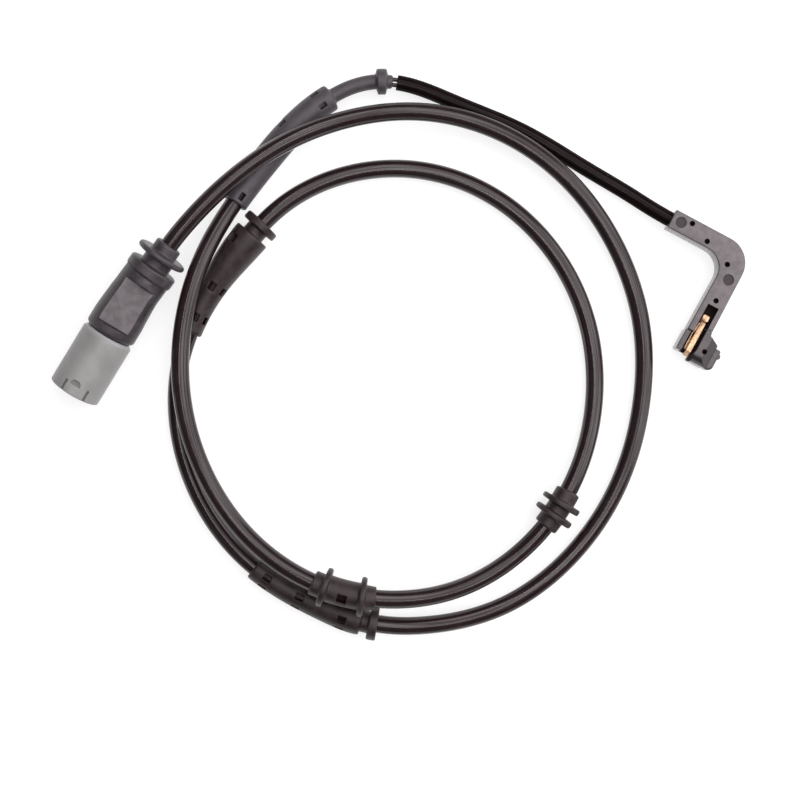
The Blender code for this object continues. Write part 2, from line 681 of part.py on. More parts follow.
def make_plug_collar(shop, route):
    """Locking collar: a round cup with a tongue between two grooves and a small dent near its rim."""
    mouth = -COLLAR_LENGTH
    profile = [
        (mouth, COLLAR_BORE_RADIUS), (mouth, COLLAR_RADIUS - COLLAR_MOUTH_EDGE),
        (mouth + COLLAR_MOUTH_EDGE, COLLAR_RADIUS), (-COLLAR_BACK_EDGE, COLLAR_RADIUS),
        (-COLLAR_BACK_SLOPE * COLLAR_BACK_EDGE, COLLAR_RADIUS - COLLAR_BACK_SLOPE * COLLAR_BACK_EDGE),
        (0.0, COLLAR_RADIUS - COLLAR_BACK_EDGE), (0.0, INSERT_NECK_RADIUS + GAP),
        (-COLLAR_BACK_WALL, INSERT_NECK_RADIUS + GAP), (-COLLAR_BACK_WALL, COLLAR_BORE_RADIUS),
    ]
    collar = shop.turned("plug_collar", profile, PLUG_SIDES, closed=True)
    collar.matrix_world = plug_frame(route)
    for side, name in ((-1.0, "right"), (1.0, "left")):
        turn = Matrix.Rotation(math.radians(90.0 + side * TONGUE_HALF_ANGLE_DEG), 4, "Z")
        low = (COLLAR_RADIUS - TONGUE_SLOT_DEPTH, -TONGUE_SLOT_WIDTH / 2.0, mouth - CUT_MARGIN)
        high = (COLLAR_RADIUS + CUT_MARGIN, TONGUE_SLOT_WIDTH / 2.0, mouth + TONGUE_SLOT_LENGTH)
        shop.cut(collar, shop.box(f"collar_slot_{name}", low, high, plug_frame(route) @ turn))
    half = DENT_WIDTH / 2.0
    flat = mouth + DENT_FROM_MOUTH
    back = flat + DENT_LENGTH
    corner = DENT_ROUNDING * DENT_LENGTH
    outline = filleted_outline([
        (-half, -flat, 0.0), (half, -flat, 0.0), (half, -back, corner), (-half, -back, corner),
    ])
    turn = Matrix.Rotation(math.radians(DENT_ANGLE_DEG), 4, "Z")
    upright = plug_frame(route) @ turn @ Matrix.Rotation(math.radians(-90.0), 4, "X")
    dent = shop.prism("collar_dent", outline, COLLAR_RADIUS - DENT_DEPTH, COLLAR_RADIUS + CUT_MARGIN,
                      upright, as_cutter=True)
    shop.cut(collar, dent)
    shop.finish(collar, COLLAR_PLASTIC)


def make_plug_inside(shop, route):
    """Contact carrier with its two contacts and the seal ring at the bottom of the socket."""
    face = -COLLAR_LENGTH + INSERT_FACE_FROM_MOUTH
    main_radius = COLLAR_BORE_RADIUS - INSERT_CLEARANCE
    back = -COLLAR_BACK_WALL - GAP
    profile = [
        (face - SPIGOT_LENGTH, 0.0), (face - SPIGOT_LENGTH, SPIGOT_RADIUS), (face, SPIGOT_RADIUS),
        (face, main_radius), (back, main_radius), (back, INSERT_NECK_RADIUS),
        (INSERT_NECK_LENGTH, INSERT_NECK_RADIUS), (INSERT_NECK_LENGTH, 0.0),
    ]
    carrier = shop.turned("plug_insert", profile, GROMMET_SIDES)
    carrier.matrix_world = plug_frame(route)
    contact_start = face - SPIGOT_LENGTH + CONTACT_RECESS
    hole = (CONTACT_RADIUS + GAP) / math.cos(math.pi / SMALL_SIDES)
    for number, side in ((1, 1.0), (2, -1.0)):
        place = plug_frame(route) @ Matrix.Translation((side * CONTACT_PITCH / 2.0, 0.0, 0.0))
        drill = shop.drum(f"contact_hole_{number}", hole, face - SPIGOT_LENGTH - CUT_MARGIN,
                          INSERT_NECK_LENGTH + CUT_MARGIN, place)
        shop.cut(carrier, drill)
        wall = [
            (contact_start, CONTACT_HOLE_RADIUS), (contact_start, CONTACT_RADIUS),
            (contact_start + CONTACT_LENGTH, CONTACT_RADIUS),
            (contact_start + CONTACT_LENGTH, CONTACT_HOLE_RADIUS),
        ]
        contact = shop.turned(f"plug_contact_{number}", wall, SMALL_SIDES, closed=True)
        contact.matrix_world = place
        shop.finish(contact, CONTACT_METAL)
    shop.finish(carrier, CARRIER_PLASTIC)
    inner = SPIGOT_RADIUS + GAP
    back = face - GAP
    front = back - SEAL_THICKNESS
    ring = [
        (front, inner), (front, main_radius - SEAL_EDGE), (front + SEAL_EDGE, main_radius),
        (back - SEAL_EDGE, main_radius), (back, main_radius - SEAL_EDGE), (back, inner),
    ]
    seal = shop.turned("plug_seal", ring, GROMMET_SIDES, closed=True)
    seal.matrix_world = plug_frame(route)
    shop.finish(seal, SEAL_RUBBER)
    return contact_start + CONTACT_LENGTH


def make_plug_cores(shop, route, contact_end):
    """The two insulated cores that run from the contacts to the end of the cable's jacket."""
    start = contact_end + GAP
    end = CABLE_START - GAP
    roll = Matrix.Rotation(math.radians(PLUG_ROLL_DEG), 4, "Z")
    for number, side in ((1, 1.0), (2, -1.0)):
        points = []
        for step in range(CORE_STEPS + 1):
            share = step / CORE_STEPS
            blend = share * share * (3.0 - 2.0 * share)
            offset = (CONTACT_PITCH * (1.0 - blend) + CORE_END_PITCH * blend) / 2.0
            frame = route.frame(start + (end - start) * share)
            points.append(frame @ roll @ Vector((side * offset, 0.0, 0.0)))
        core = shop.curve_tube(f"plug_core_{number}", points, CORE_RADIUS, WIRE_BEVEL_RESOLUTION)
        shop.finish(core, WIRE_INSULATION)


def make_plug_boot(shop, route, cable_points):
    """Moulded boot: round front, waist with a flat panel, ring, neck, disc flange and cable stub."""
    ring_end = BOOT_RING_START + BOOT_RING_WIDTH
    disc_start = ring_end + BOOT_NECK_LENGTH
    disc_end = disc_start + BOOT_DISC_WIDTH
    stub_end = disc_end + BOOT_STUB_LENGTH
    profile = [(GAP, 0.0), (GAP, BOOT_FRONT_RADIUS - BOOT_FRONT_EDGE)]
    profile += [(GAP + BOOT_FRONT_EDGE, BOOT_FRONT_RADIUS), (BOOT_STRAIGHT_END, BOOT_FRONT_RADIUS)]
    middle = (BOOT_STRAIGHT_END + BOOT_WAIST_STATION) / 2.0
    profile += [(middle, BOOT_FRONT_RADIUS + (BOOT_WAIST_RADIUS - BOOT_FRONT_RADIUS) * BOOT_TAPER_MIDDLE)]
    profile += [(BOOT_WAIST_STATION, BOOT_WAIST_RADIUS), (BOOT_RING_START, BOOT_WAIST_RADIUS)]
    profile += rounded_step(BOOT_RING_START, ring_end, BOOT_RING_RADIUS, EDGE)
    profile += [(ring_end, BOOT_NECK_RADIUS), (disc_start, BOOT_NECK_RADIUS)]
    profile += rounded_step(disc_start, disc_end, BOOT_DISC_RADIUS, BOOT_DISC_EDGE)
    profile += [(disc_end, BOOT_STUB_RADIUS), (stub_end - EDGE, BOOT_STUB_RADIUS)]
    profile += [(stub_end, BOOT_STUB_RADIUS - EDGE), (stub_end, 0.0)]
    straight = shop.turned("plug_boot", profile, PLUG_SIDES)
    reach = BOOT_FRONT_RADIUS + CUT_MARGIN
    turn = Matrix.Rotation(math.radians(PLUG_ROLL_DEG), 4, "Z")
    place = turn @ Matrix.Translation((0.0, PANEL_HEIGHT, PANEL_START))
    place = place @ Matrix.Rotation(math.radians(PANEL_SLOPE_DEG), 4, "X")
    shop.cut(straight, shop.box("boot_panel", (-reach, 0.0, 0.0), (reach, reach, PANEL_LENGTH), place))
    boot = shop.as_mesh(straight)
    shop.bend(boot, route, 0.0)
    neck_end = INSERT_NECK_LENGTH + GAP
    cavity_end = CABLE_START + GAP
    socket = shop.turned("boot_socket", [
        (-CUT_MARGIN, 0.0), (-CUT_MARGIN, INSERT_NECK_RADIUS + GAP), (neck_end, INSERT_NECK_RADIUS + GAP),
        (neck_end, CORE_CAVITY_RADIUS), (cavity_end, CORE_CAVITY_RADIUS), (cavity_end, 0.0),
    ], GROMMET_SIDES, as_cutter=True)
    socket = shop.as_mesh(socket, as_cutter=True)
    shop.bend(socket, route, 0.0)
    shop.cut(boot, socket)
    stretch = polyline_part(cable_points, route, CABLE_START, stub_end)
    bore = shop.curve_tube("boot_bore", stretch, bore_radius(CABLE_RADIUS), BORE_BEVEL_RESOLUTION,
                           as_cutter=True)
    shop.cut(boot, shop.as_mesh(bore, as_cutter=True))
    shop.finish(boot, GREY_RUBBER)


def make_grommets(shop, route, cable_points):
    """The five pieces moulded on the cable between the plug and the elbow."""
    neck_end = LONG_FLANGE_WIDTH + LONG_NECK_LENGTH
    length = LONG_BODY_LENGTH
    profile = rounded_step(0.0, LONG_FLANGE_WIDTH, LONG_FLANGE_RADIUS, EDGE)
    profile += [(LONG_FLANGE_WIDTH, LONG_NECK_RADIUS), (neck_end, LONG_NECK_RADIUS)]
    for share, blend in LONG_SWELL:
        radius = LONG_TAIL_RADIUS + (LONG_HEAD_RADIUS - LONG_TAIL_RADIUS) * blend
        profile.append((neck_end + share * length, radius))
    windows = []
    for share, top, side in LONG_WINDOW_ROWS:
        for angle in (top, side):
            windows.append(Window(neck_end + share * length, angle, LONG_WINDOW_LENGTH, LONG_WINDOW_WIDTH))
    moulded_on_cable(shop, route, cable_points, "long_grommet_lower", profile, LOWER_START, windows,
                     BLACK_RUBBER)

    length = UPPER_BODY_LENGTH
    profile = []
    for share, blend in UPPER_SWELL:
        radius = UPPER_TAIL_RADIUS + (UPPER_HEAD_RADIUS - UPPER_TAIL_RADIUS) * blend
        profile.append((share * length, radius))
    profile.append((length, UPPER_HEAD_RADIUS - EDGE))
    profile += [(length, UPPER_NECK_RADIUS), (length + UPPER_NECK_LENGTH, UPPER_NECK_RADIUS)]
    flange_start = length + UPPER_NECK_LENGTH
    profile += rounded_step(flange_start, flange_start + UPPER_FLANGE_WIDTH, UPPER_FLANGE_RADIUS, EDGE)
    windows = []
    for share, top, side in UPPER_WINDOW_ROWS:
        for angle in (top, side):
            windows.append(Window(share * length, angle, LONG_WINDOW_LENGTH, LONG_WINDOW_WIDTH))
    moulded_on_cable(shop, route, cable_points, "long_grommet_upper", profile, UPPER_START, windows,
                     BLACK_RUBBER)

    first = SPOOL_BOOT_LENGTH
    second = first + SPOOL_FLANGE_WIDTH + SPOOL_GROOVE_WIDTH
    end = second + SPOOL_FLANGE_WIDTH + SPOOL_BOOT_LENGTH
    profile = [(0.0, SPOOL_BOOT_RADIUS - EDGE), (EDGE, SPOOL_BOOT_RADIUS), (first, SPOOL_BOOT_RADIUS)]
    profile += rounded_step(first, first + SPOOL_FLANGE_WIDTH, SPOOL_FLANGE_RADIUS, EDGE)
    profile += [(first + SPOOL_FLANGE_WIDTH, SPOOL_GROOVE_RADIUS), (second, SPOOL_GROOVE_RADIUS)]
    profile += rounded_step(second, second + SPOOL_FLANGE_WIDTH, SPOOL_FLANGE_RADIUS, EDGE)
    profile += [(second + SPOOL_FLANGE_WIDTH, SPOOL_BOOT_RADIUS), (end - EDGE, SPOOL_BOOT_RADIUS)]
    profile.append((end, SPOOL_BOOT_RADIUS - EDGE))
    moulded_on_cable(shop, route, cable_points, "spool_grommet", profile, SPOOL_START, [], BLACK_RUBBER)

    first = WINDOW_BOOT_LENGTH
    body_end = first + RING_WIDTH + WINDOW_BODY_LENGTH
    end = body_end + RING_WIDTH + WINDOW_BOOT_LENGTH
    profile = [(0.0, WINDOW_BOOT_TIP_RADIUS - EDGE), (EDGE, WINDOW_BOOT_TIP_RADIUS)]
    profile += [(first, WINDOW_BOOT_RADIUS)]
    profile += rounded_step(first, first + RING_WIDTH, RING_RADIUS, RING_EDGE)
    profile += [(first + RING_WIDTH, WINDOW_BODY_RADIUS), (body_end, WINDOW_BODY_RADIUS)]
    profile += rounded_step(body_end, body_end + RING_WIDTH, RING_RADIUS, RING_EDGE)
    profile += [(body_end + RING_WIDTH, WINDOW_BOOT_RADIUS), (end - EDGE, WINDOW_BOOT_RADIUS)]
    profile.append((end, WINDOW_BOOT_RADIUS - EDGE))
    windows = [Window(first + RING_WIDTH + WINDOW_BODY_LENGTH / 2.0, RING_WINDOW_ANGLE_DEG,
                      RING_WINDOW_LENGTH, RING_WINDOW_WIDTH)]
    moulded_on_cable(shop, route, cable_points, "window_grommet", profile, WINDOW_START, windows,
                     BLACK_RUBBER)


def make_tail_grommet(shop, route, cable_points):
    """Long grey holder in which the cable ends and the elbow begins."""
    length = TAIL_BODY_LENGTH
    profile = [(0.0, TAIL_END_RADIUS - EDGE), (EDGE, TAIL_END_RADIUS)]
    for share in TAIL_BULGE_SHARES:
        bulge = math.sin(math.pi * share)
        profile.append((share * length, TAIL_END_RADIUS + (TAIL_BODY_RADIUS - TAIL_END_RADIUS) * bulge))
    profile += [(length - TAIL_ROUNDING, TAIL_END_RADIUS), (length, TAIL_END_RADIUS - TAIL_ROUNDING)]
    solid = [(0.0, 0.0)] + profile + [(length, 0.0)]
    straight = shop.turned("tail_grommet", solid, GROMMET_SIDES)
    windows = []
    for share, near, far in TAIL_WINDOW_ROWS:
        for angle in (near, far):
            windows.append(Window(share * length, angle, TAIL_WINDOW_LENGTH, TAIL_WINDOW_WIDTH))
    for cutter in window_cutters(shop, "tail_grommet", windows, TAIL_BODY_RADIUS):
        shop.cut(straight, cutter)
    body = shop.as_mesh(straight)
    shop.bend(body, route, TAIL_START)
    cable_end = TAIL_START + CABLE_END_IN_TAIL
    stretch = polyline_part(cable_points, route, TAIL_START, cable_end)
    bore = shop.curve_tube("tail_bore", stretch, bore_radius(CABLE_RADIUS), BORE_BEVEL_RESOLUTION,
                           as_cutter=True)
    shop.cut(body, shop.as_mesh(bore, as_cutter=True))
    way = route.spread(cable_end, TAIL_START + length + CUT_MARGIN, ELBOW_RADIUS)
    thin = shop.curve_tube("tail_elbow_bore", way, bore_radius(ELBOW_RADIUS), BORE_BEVEL_RESOLUTION,
                           as_cutter=True)
    shop.cut(body, shop.as_mesh(thin, as_cutter=True))
    shop.finish(body, GREY_RUBBER)


def wire_cutter(shop, name, points):
    """A cutter that leaves a clear channel round one thin wire."""
    bore = shop.curve_tube(name, points, bore_radius(WIRE_RADIUS), BORE_BEVEL_RESOLUTION, as_cutter=True)
    return shop.as_mesh(bore, as_cutter=True)


def make_elbow_boot(shop, route, wires):
    """Thin bent tube moulded on the two wires, with a small flange and a domed end."""
    start = TAIL_START + CABLE_END_IN_TAIL + ELBOW_CLEARANCE
    flange = TAIL_START + TAIL_BODY_LENGTH + ELBOW_REACH - start
    slope = (ELBOW_FLANGE_WIDTH - ELBOW_RIM_WIDTH) / 2.0
    flange_end = flange + ELBOW_FLANGE_WIDTH
    end = flange_end + ELBOW_DOME_LENGTH
    profile = [(0.0, 0.0)]
    rings = max(2, int(round(flange / ELBOW_RING_SPACING)))
    for step in range(rings + 1):
        profile.append((flange * step / rings, ELBOW_RADIUS))
    profile += [(flange + slope, ELBOW_FLANGE_RADIUS), (flange_end - slope, ELBOW_FLANGE_RADIUS)]
    profile += [(flange_end, ELBOW_DOME_RADIUS), (end - ELBOW_DOME_LENGTH / 2.0, ELBOW_DOME_RADIUS)]
    profile += [(end, ELBOW_DOME_RADIUS - EDGE), (end, 0.0)]
    elbow = shop.as_mesh(shop.turned("elbow_boot", profile, SMALL_SIDES))
    shop.bend(elbow, route, start)
    for name, points in wires.items():
        stretch = polyline_part(points, route, start, start + end)
        shop.cut(elbow, wire_cutter(shop, f"elbow_{name}_channel", stretch), "MANIFOLD")
    shop.finish(elbow, GREY_RUBBER)
    return start + end


def make_lead_sleeve(shop, route, start, end):
    """Glossy sleeve over the two wires, a little wider where it meets the sensor head."""
    points = route.spread(start, end, SLEEVE_POINT_SPACING)
    radii = []
    for point in points:
        share = 1.0 - (end - route.station_near(point)) / SLEEVE_FLARE_LENGTH
        radii.append(SLEEVE_RADIUS + (SLEEVE_END_RADIUS - SLEEVE_RADIUS) * max(0.0, share))
    tube = shop.curve_tube("lead_sleeve", points, SLEEVE_RADIUS, SLEEVE_BEVEL_RESOLUTION, radii)
    sleeve = shop.as_mesh(tube)
    bore = shop.curve_tube("sleeve_bore", polyline_part(points, route, start, end), SLEEVE_BORE_RADIUS,
                           SLEEVE_BEVEL_RESOLUTION, as_cutter=True)
    shop.cut(sleeve, shop.as_mesh(bore, as_cutter=True))
    shop.finish(sleeve, GLOSS_SLEEVE)


def sideways(u, v, z):
    """Matrix at a place on the head whose local z points back along the first arm's axis."""
    return HEAD @ Matrix.Translation((u, v, z)) @ Matrix.Rotation(math.radians(90.0), 4, "X")


def make_sensor_arm(shop, route, wires):
    """L-shaped moulding with the wires' channels, pin pits, round marks and the clip's slot."""
    inner_u = ARM_OUTER_U + ARM_FIRST_WIDTH
    side_v = ARM_SECOND_WIDTH / 2.0
    nose_v = ARM_NOSE_WIDTH / 2.0
    body_end = BODY_SPLIT_U - GAP / 2.0
    finger_end = FINGER_SPLIT_U - GAP / 2.0
    outline = filleted_outline([
        (ARM_OUTER_U, ARM_END_V, 0.0), (inner_u, ARM_END_V, 0.0), (inner_u, -side_v, ARM_INNER_FILLET),
        (finger_end, -nose_v, 0.0), (finger_end, nose_v, 0.0), (ARM_OUTER_U, side_v, ARM_OUTER_FILLET),
    ])
    arm = shop.prism("sensor_arm", outline, 0.0, HEAD_HEIGHT, HEAD)
    shop.bevel(arm, HEAD_EDGE)
    entry = sideways(ARM_OUTER_U + ARM_FIRST_WIDTH / 2.0, ARM_END_V, CHANNEL_ENTRY_HEIGHT)
    shop.join(arm, shop.drum("arm_neck", ARM_NECK_RADIUS, -CUT_MARGIN, ARM_NECK_LENGTH, entry,
                             GROMMET_SIDES))
    top = HEAD_HEIGHT + CUT_MARGIN
    shop.cut(arm, shop.box("arm_split", (body_end, SLOT_LEFT_V, -CUT_MARGIN),
                           (FINGER_SPLIT_U + CUT_MARGIN, nose_v + CUT_MARGIN, top), HEAD))
    shop.cut(arm, shop.box("arm_slot", (SLOT_START_U, SLOT_LEFT_V, SLOT_FLOOR_HEIGHT),
                           (BODY_SPLIT_U + CUT_MARGIN, SLOT_RIGHT_V, top), HEAD))
    start = route.station_near(entry.translation) - ARM_NECK_LENGTH
    for name, points in wires.items():
        stretch = polyline_part(points, route, start, route.length)
        shop.cut(arm, wire_cutter(shop, f"arm_{name}_channel", stretch), "MANIFOLD")
    for i, (u, v) in enumerate(PIN_PLACES):
        place = HEAD @ Matrix.Translation((u, v, 0.0))
        shop.cut(arm, shop.drum(f"arm_pin_{i + 1}", PIN_RADIUS, HEAD_HEIGHT - PIN_DEPTH, top, place))
    for i, (u, v) in enumerate(MARK_PLACES):
        place = HEAD @ Matrix.Translation((u, v, 0.0))
        shop.cut(arm, shop.drum(f"arm_mark_{i + 1}", MARK_RADIUS, HEAD_HEIGHT - MARK_DEPTH, top, place,
                                GROMMET_SIDES))
    shop.finish(arm, HEAD_PLASTIC)


def make_sensor_nose(shop):
    """Nose: a wedge-shaped body and a thin finger on one floor, with a ledge and a pocket for the loop."""
    body_start = BODY_SPLIT_U + GAP / 2.0
    finger_start = FINGER_SPLIT_U + GAP / 2.0
    round_start = NOSE_END_U - NOSE_ROUND_RADIUS
    body = shop.prism("sensor_nose", filleted_outline([
        (body_start, SLOT_RIGHT_V, 0.0), (NOSE_TAPER_U, SLOT_RIGHT_V, 0.0),
        (NOSE_TAPER_END_U, NOSE_LEFT_V, 0.0), (NOSE_END_U, NOSE_LEFT_V, NOSE_END_FILLET),
        (NOSE_END_U, NOSE_SIDE_V, NOSE_CORNER_FILLET), (NOSE_SHOULDER_U, NOSE_SIDE_V, NOSE_SHOULDER_FILLET),
        (NOSE_NECK_U, NOSE_NECK_V, 0.0), (body_start, NOSE_NECK_V - NOSE_NECK_SLANT, 0.0),
    ]), 0.0, HEAD_HEIGHT, HEAD)
    along = HEAD @ Matrix.Rotation(math.radians(90.0), 4, "X")
    top = HEAD_HEIGHT + CUT_MARGIN
    end = NOSE_END_U + CUT_MARGIN
    arc = []
    for step in range(NOSE_ROUND_STEPS + 1):
        angle = math.radians(90.0 * (1.0 - step / NOSE_ROUND_STEPS))
        arc.append((round_start + NOSE_ROUND_RADIUS * math.cos(angle),
                    HEAD_HEIGHT - NOSE_ROUND_RADIUS * (1.0 - math.sin(angle))))
    rounding = [(round_start, top)] + arc + [(end, HEAD_HEIGHT - NOSE_ROUND_RADIUS), (end, top)]
    reach = NOSE_SIDE_V + 2.0 * CUT_MARGIN
    shop.cut(body, shop.prism("nose_rounding", rounding, -reach, reach, along, as_cutter=True))
    slope = (HEAD_HEIGHT - NOSE_LEDGE_HEIGHT) / (NOSE_SIDE_V - NOSE_SLOPE_V)
    facet = [
        (NOSE_SLOPE_V - CUT_MARGIN, HEAD_HEIGHT + slope * CUT_MARGIN),
        (reach, NOSE_LEDGE_HEIGHT - slope * 2.0 * CUT_MARGIN), (reach, 2.0 * HEAD_HEIGHT),
        (NOSE_SLOPE_V - CUT_MARGIN, 2.0 * HEAD_HEIGHT),
    ]
    across = HEAD @ Matrix((Vector((0, 0, 1)), Vector((1, 0, 0)), Vector((0, 1, 0)))).to_4x4()
    shop.cut(body, shop.prism("nose_facet", facet, body_start - CUT_MARGIN, end, across, as_cutter=True))
    ledge = shop.prism("nose_ledge", filleted_outline([
        (NOSE_LEDGE_U, NOSE_SLOPE_V, 0.0), (NOSE_END_U - GAP / 2.0, NOSE_SLOPE_V, 0.0),
        (NOSE_END_U - GAP / 2.0, NOSE_LEDGE_V, NOSE_CORNER_FILLET),
        (NOSE_LEDGE_U, NOSE_LEDGE_V, NOSE_LEDGE_FILLET),
    ]), 0.0, NOSE_LEDGE_HEIGHT, HEAD, as_cutter=True)
    shop.bevel(ledge, NOSE_LEDGE_EDGE)
    shop.join(body, ledge)
    knob_place = HEAD @ Matrix.Translation((*KNOB_PLACE, 0.0))
    shop.join(body, shop.drum("nose_knob", KNOB_RADIUS, KNOB_BOTTOM, KNOB_TOP, knob_place))
    floor = shop.prism("nose_floor", [
        (body_start, SLOT_LEFT_V + GAP), (finger_start, SLOT_LEFT_V + GAP),
        (finger_start, FINGER_INNER_V - CUT_MARGIN), (NOSE_FLOOR_END_U, FINGER_INNER_V - CUT_MARGIN),
        (NOSE_FLOOR_END_U, SLOT_RIGHT_V + CUT_MARGIN), (body_start, SLOT_RIGHT_V + CUT_MARGIN),
    ], 0.0, SLOT_FLOOR_HEIGHT, HEAD, as_cutter=True)
    shop.join(body, floor)
    finger = shop.prism("nose_finger", filleted_outline([
        (finger_start, FINGER_OUTER_V, 0.0), (FINGER_END_U, FINGER_OUTER_V, FINGER_FILLET),
        (FINGER_END_U, FINGER_INNER_V, 0.0), (finger_start, FINGER_INNER_V, 0.0),
    ]), 0.0, HEAD_HEIGHT, HEAD, as_cutter=True)
    shop.join(body, finger)
    half = WIRE_PITCH / 2.0 + WIRE_RADIUS + GAP
    pocket_end = LOOP_TURN_U + half
    shop.cut(body, shop.box("loop_pocket", (body_start - CUT_MARGIN, CHANNEL_V - half,
                                            CHANNEL_LOW_HEIGHT - WIRE_RADIUS - GAP),
                            (pocket_end, CHANNEL_V + half, CHANNEL_LOW_HEIGHT + WIRE_RADIUS + GAP), HEAD))
    pin_place = HEAD @ Matrix.Translation((*NOSE_PIN_PLACE, 0.0))
    shop.cut(body, shop.drum("nose_pin", PIN_RADIUS, HEAD_HEIGHT - PIN_DEPTH, top, pin_place))
    shop.finish(body, NOSE_PLASTIC)


def make_wear_loop(shop):
    """The loop of wire in the nose that the brake disc wears through when the pad is thin."""
    start = BODY_SPLIT_U + GAP / 2.0
    half = WIRE_PITCH / 2.0
    places = [(start, CHANNEL_V - half), (LOOP_TURN_U, CHANNEL_V - half)]
    for step in range(1, LOOP_STEPS):
        angle = math.radians(-90.0 + 180.0 * step / LOOP_STEPS)
        places.append((LOOP_TURN_U + half * math.cos(angle), CHANNEL_V + half * math.sin(angle)))
    places += [(LOOP_TURN_U, CHANNEL_V + half), (start, CHANNEL_V + half)]
    points = [HEAD @ Vector((u, v, CHANNEL_LOW_HEIGHT)) for u, v in places]
    loop = shop.curve_tube("wear_loop", points, WIRE_RADIUS, WIRE_BEVEL_RESOLUTION)
    shop.finish(loop, WIRE_INSULATION)


def strip_outline(centres, thickness):
    """Outline of a bent strip of even thickness from the line along its middle."""
    line = [Vector(point) for point in centres]
    left = []
    right = []
    for i, point in enumerate(line):
        before = (point - line[i - 1]).normalized() if i > 0 else (line[1] - point).normalized()
        after = (line[i + 1] - point).normalized() if i < len(line) - 1 else before
        mean = (before + after).normalized()
        normal = Vector((-mean.y, mean.x))
        offset = thickness / 2.0 / max(0.5, mean.dot(before))
        left.append(tuple(point + normal * offset))
        right.append(tuple(point - normal * offset))
    return left + right[::-1]


def make_spring_clip(shop):
    """Folded spring strip in the slot: foot, back fold, tab, small dip, long top and bent-down end."""
    half = CLIP_THICKNESS / 2.0
    foot = SLOT_FLOOR_HEIGHT + GAP + half
    crown = CLIP_TOP_HEIGHT - half
    tab_end = CLIP_BACK_U + CLIP_TAB_LENGTH
    line = [
        (CLIP_FOOT_END_U, foot), (CLIP_BACK_U + 2.0 * half, foot), (CLIP_BACK_U + half, foot + 2.0 * half),
        (CLIP_BACK_U + half, crown - 2.0 * half), (CLIP_BACK_U + 2.0 * half, crown), (tab_end, crown),
        (tab_end + CLIP_DIP_WIDTH / 2.0, crown - CLIP_DIP_DEPTH), (tab_end + CLIP_DIP_WIDTH, crown),
        (CLIP_BEND_U, crown), (CLIP_END_U, CLIP_END_HEIGHT),
    ]
    along = HEAD @ Matrix.Rotation(math.radians(90.0), 4, "X")
    strip_left = CLIP_RIGHT_V - CLIP_WIDTH
    clip = shop.prism("spring_clip", strip_outline(line, CLIP_THICKNESS), -CLIP_RIGHT_V, -strip_left, along)
    tab_low = (CLIP_BACK_U + 2.0 * half, CLIP_LEFT_V, crown - half)
    tab_high = (tab_end, CLIP_RIGHT_V + CLIP_TAB_OVERHANG, crown + half)
    shop.join(clip, shop.box("clip_tab", tab_low, tab_high, HEAD))
    shop.join(clip, shop.box("clip_foot_edge", (CLIP_FLANGE_START_U, CLIP_LEFT_V, foot - half),
                             (CLIP_FLANGE_END_U, strip_left + half, foot + half), HEAD))
    slant = CLIP_FLANGE_SLANT / 2.0
    flange = [
        (CLIP_FLANGE_START_U, CLIP_LEFT_V), (CLIP_FLANGE_END_U, CLIP_LEFT_V - slant),
        (CLIP_FLANGE_END_U, CLIP_LEFT_V - slant + CLIP_FLANGE_THICKNESS),
        (CLIP_FLANGE_START_U, CLIP_LEFT_V + CLIP_FLANGE_THICKNESS),
    ]
    shop.join(clip, shop.prism("clip_flange", flange, foot - half, crown + half, HEAD, as_cutter=True))
    shop.finish(clip, COPPER)


def main():
    clear_scene()
    shop = Workshop()
    route = Route([Vector(point) * MM for point in HARNESS_POINTS] + head_channel_points())
    make_plug_collar(shop, route)
    contact_end = make_plug_inside(shop, route)
    make_plug_cores(shop, route, contact_end)
    cable_end = TAIL_START + CABLE_END_IN_TAIL
    cable_points = route.spread(CABLE_START, cable_end, CABLE_POINT_SPACING)
    shop.finish(shop.curve_tube("cable", cable_points, CABLE_RADIUS, CABLE_BEVEL_RESOLUTION), JACKET)
    make_plug_boot(shop, route, cable_points)
    make_grommets(shop, route, cable_points)
    make_tail_grommet(shop, route, cable_points)
    arm_face = HEAD @ Vector((BODY_SPLIT_U - GAP / 2.0, CHANNEL_V, CHANNEL_LOW_HEIGHT))
    wires = {}
    for name, side in (("lead_wire_a", 1.0), ("lead_wire_b", -1.0)):
        wires[name] = route.spread(cable_end + 2.0 * GAP, route.station_near(arm_face), WIRE_POINT_SPACING,
                                   side * WIRE_PITCH / 2.0)
        wire = shop.curve_tube(name, wires[name], WIRE_RADIUS, WIRE_BEVEL_RESOLUTION)
        shop.finish(wire, WIRE_INSULATION)
    elbow_end = make_elbow_boot(shop, route, wires)
    arm_end = HEAD @ Vector((ARM_OUTER_U + ARM_FIRST_WIDTH / 2.0, ARM_END_V, CHANNEL_ENTRY_HEIGHT))
    sleeve_end = route.station_near(arm_end) - ARM_NECK_LENGTH - SLEEVE_END_GAP
    make_lead_sleeve(shop, route, elbow_end + WIRES_SHOWN, sleeve_end)
    make_sensor_arm(shop, route, wires)
    make_sensor_nose(shop)
    make_wear_loop(shop)
    make_spring_clip(shop)


main()
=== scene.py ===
"""Looks of the brake pad wear sensor: fine meshes, cords, finishes, floor, light and camera.

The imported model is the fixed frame. Every piece on the cable is laid on one smooth route and placed by
its station, the distance along the route from the back of the plug's collar. Local axes on the route
are x to the left, y up and z forwards. All sizes are in metres.
"""

import logging
import math
from dataclasses import dataclass
from enum import Enum
from typing import Optional, Sequence

import bmesh
import bpy
import numpy as np
from mathutils import Matrix, Vector


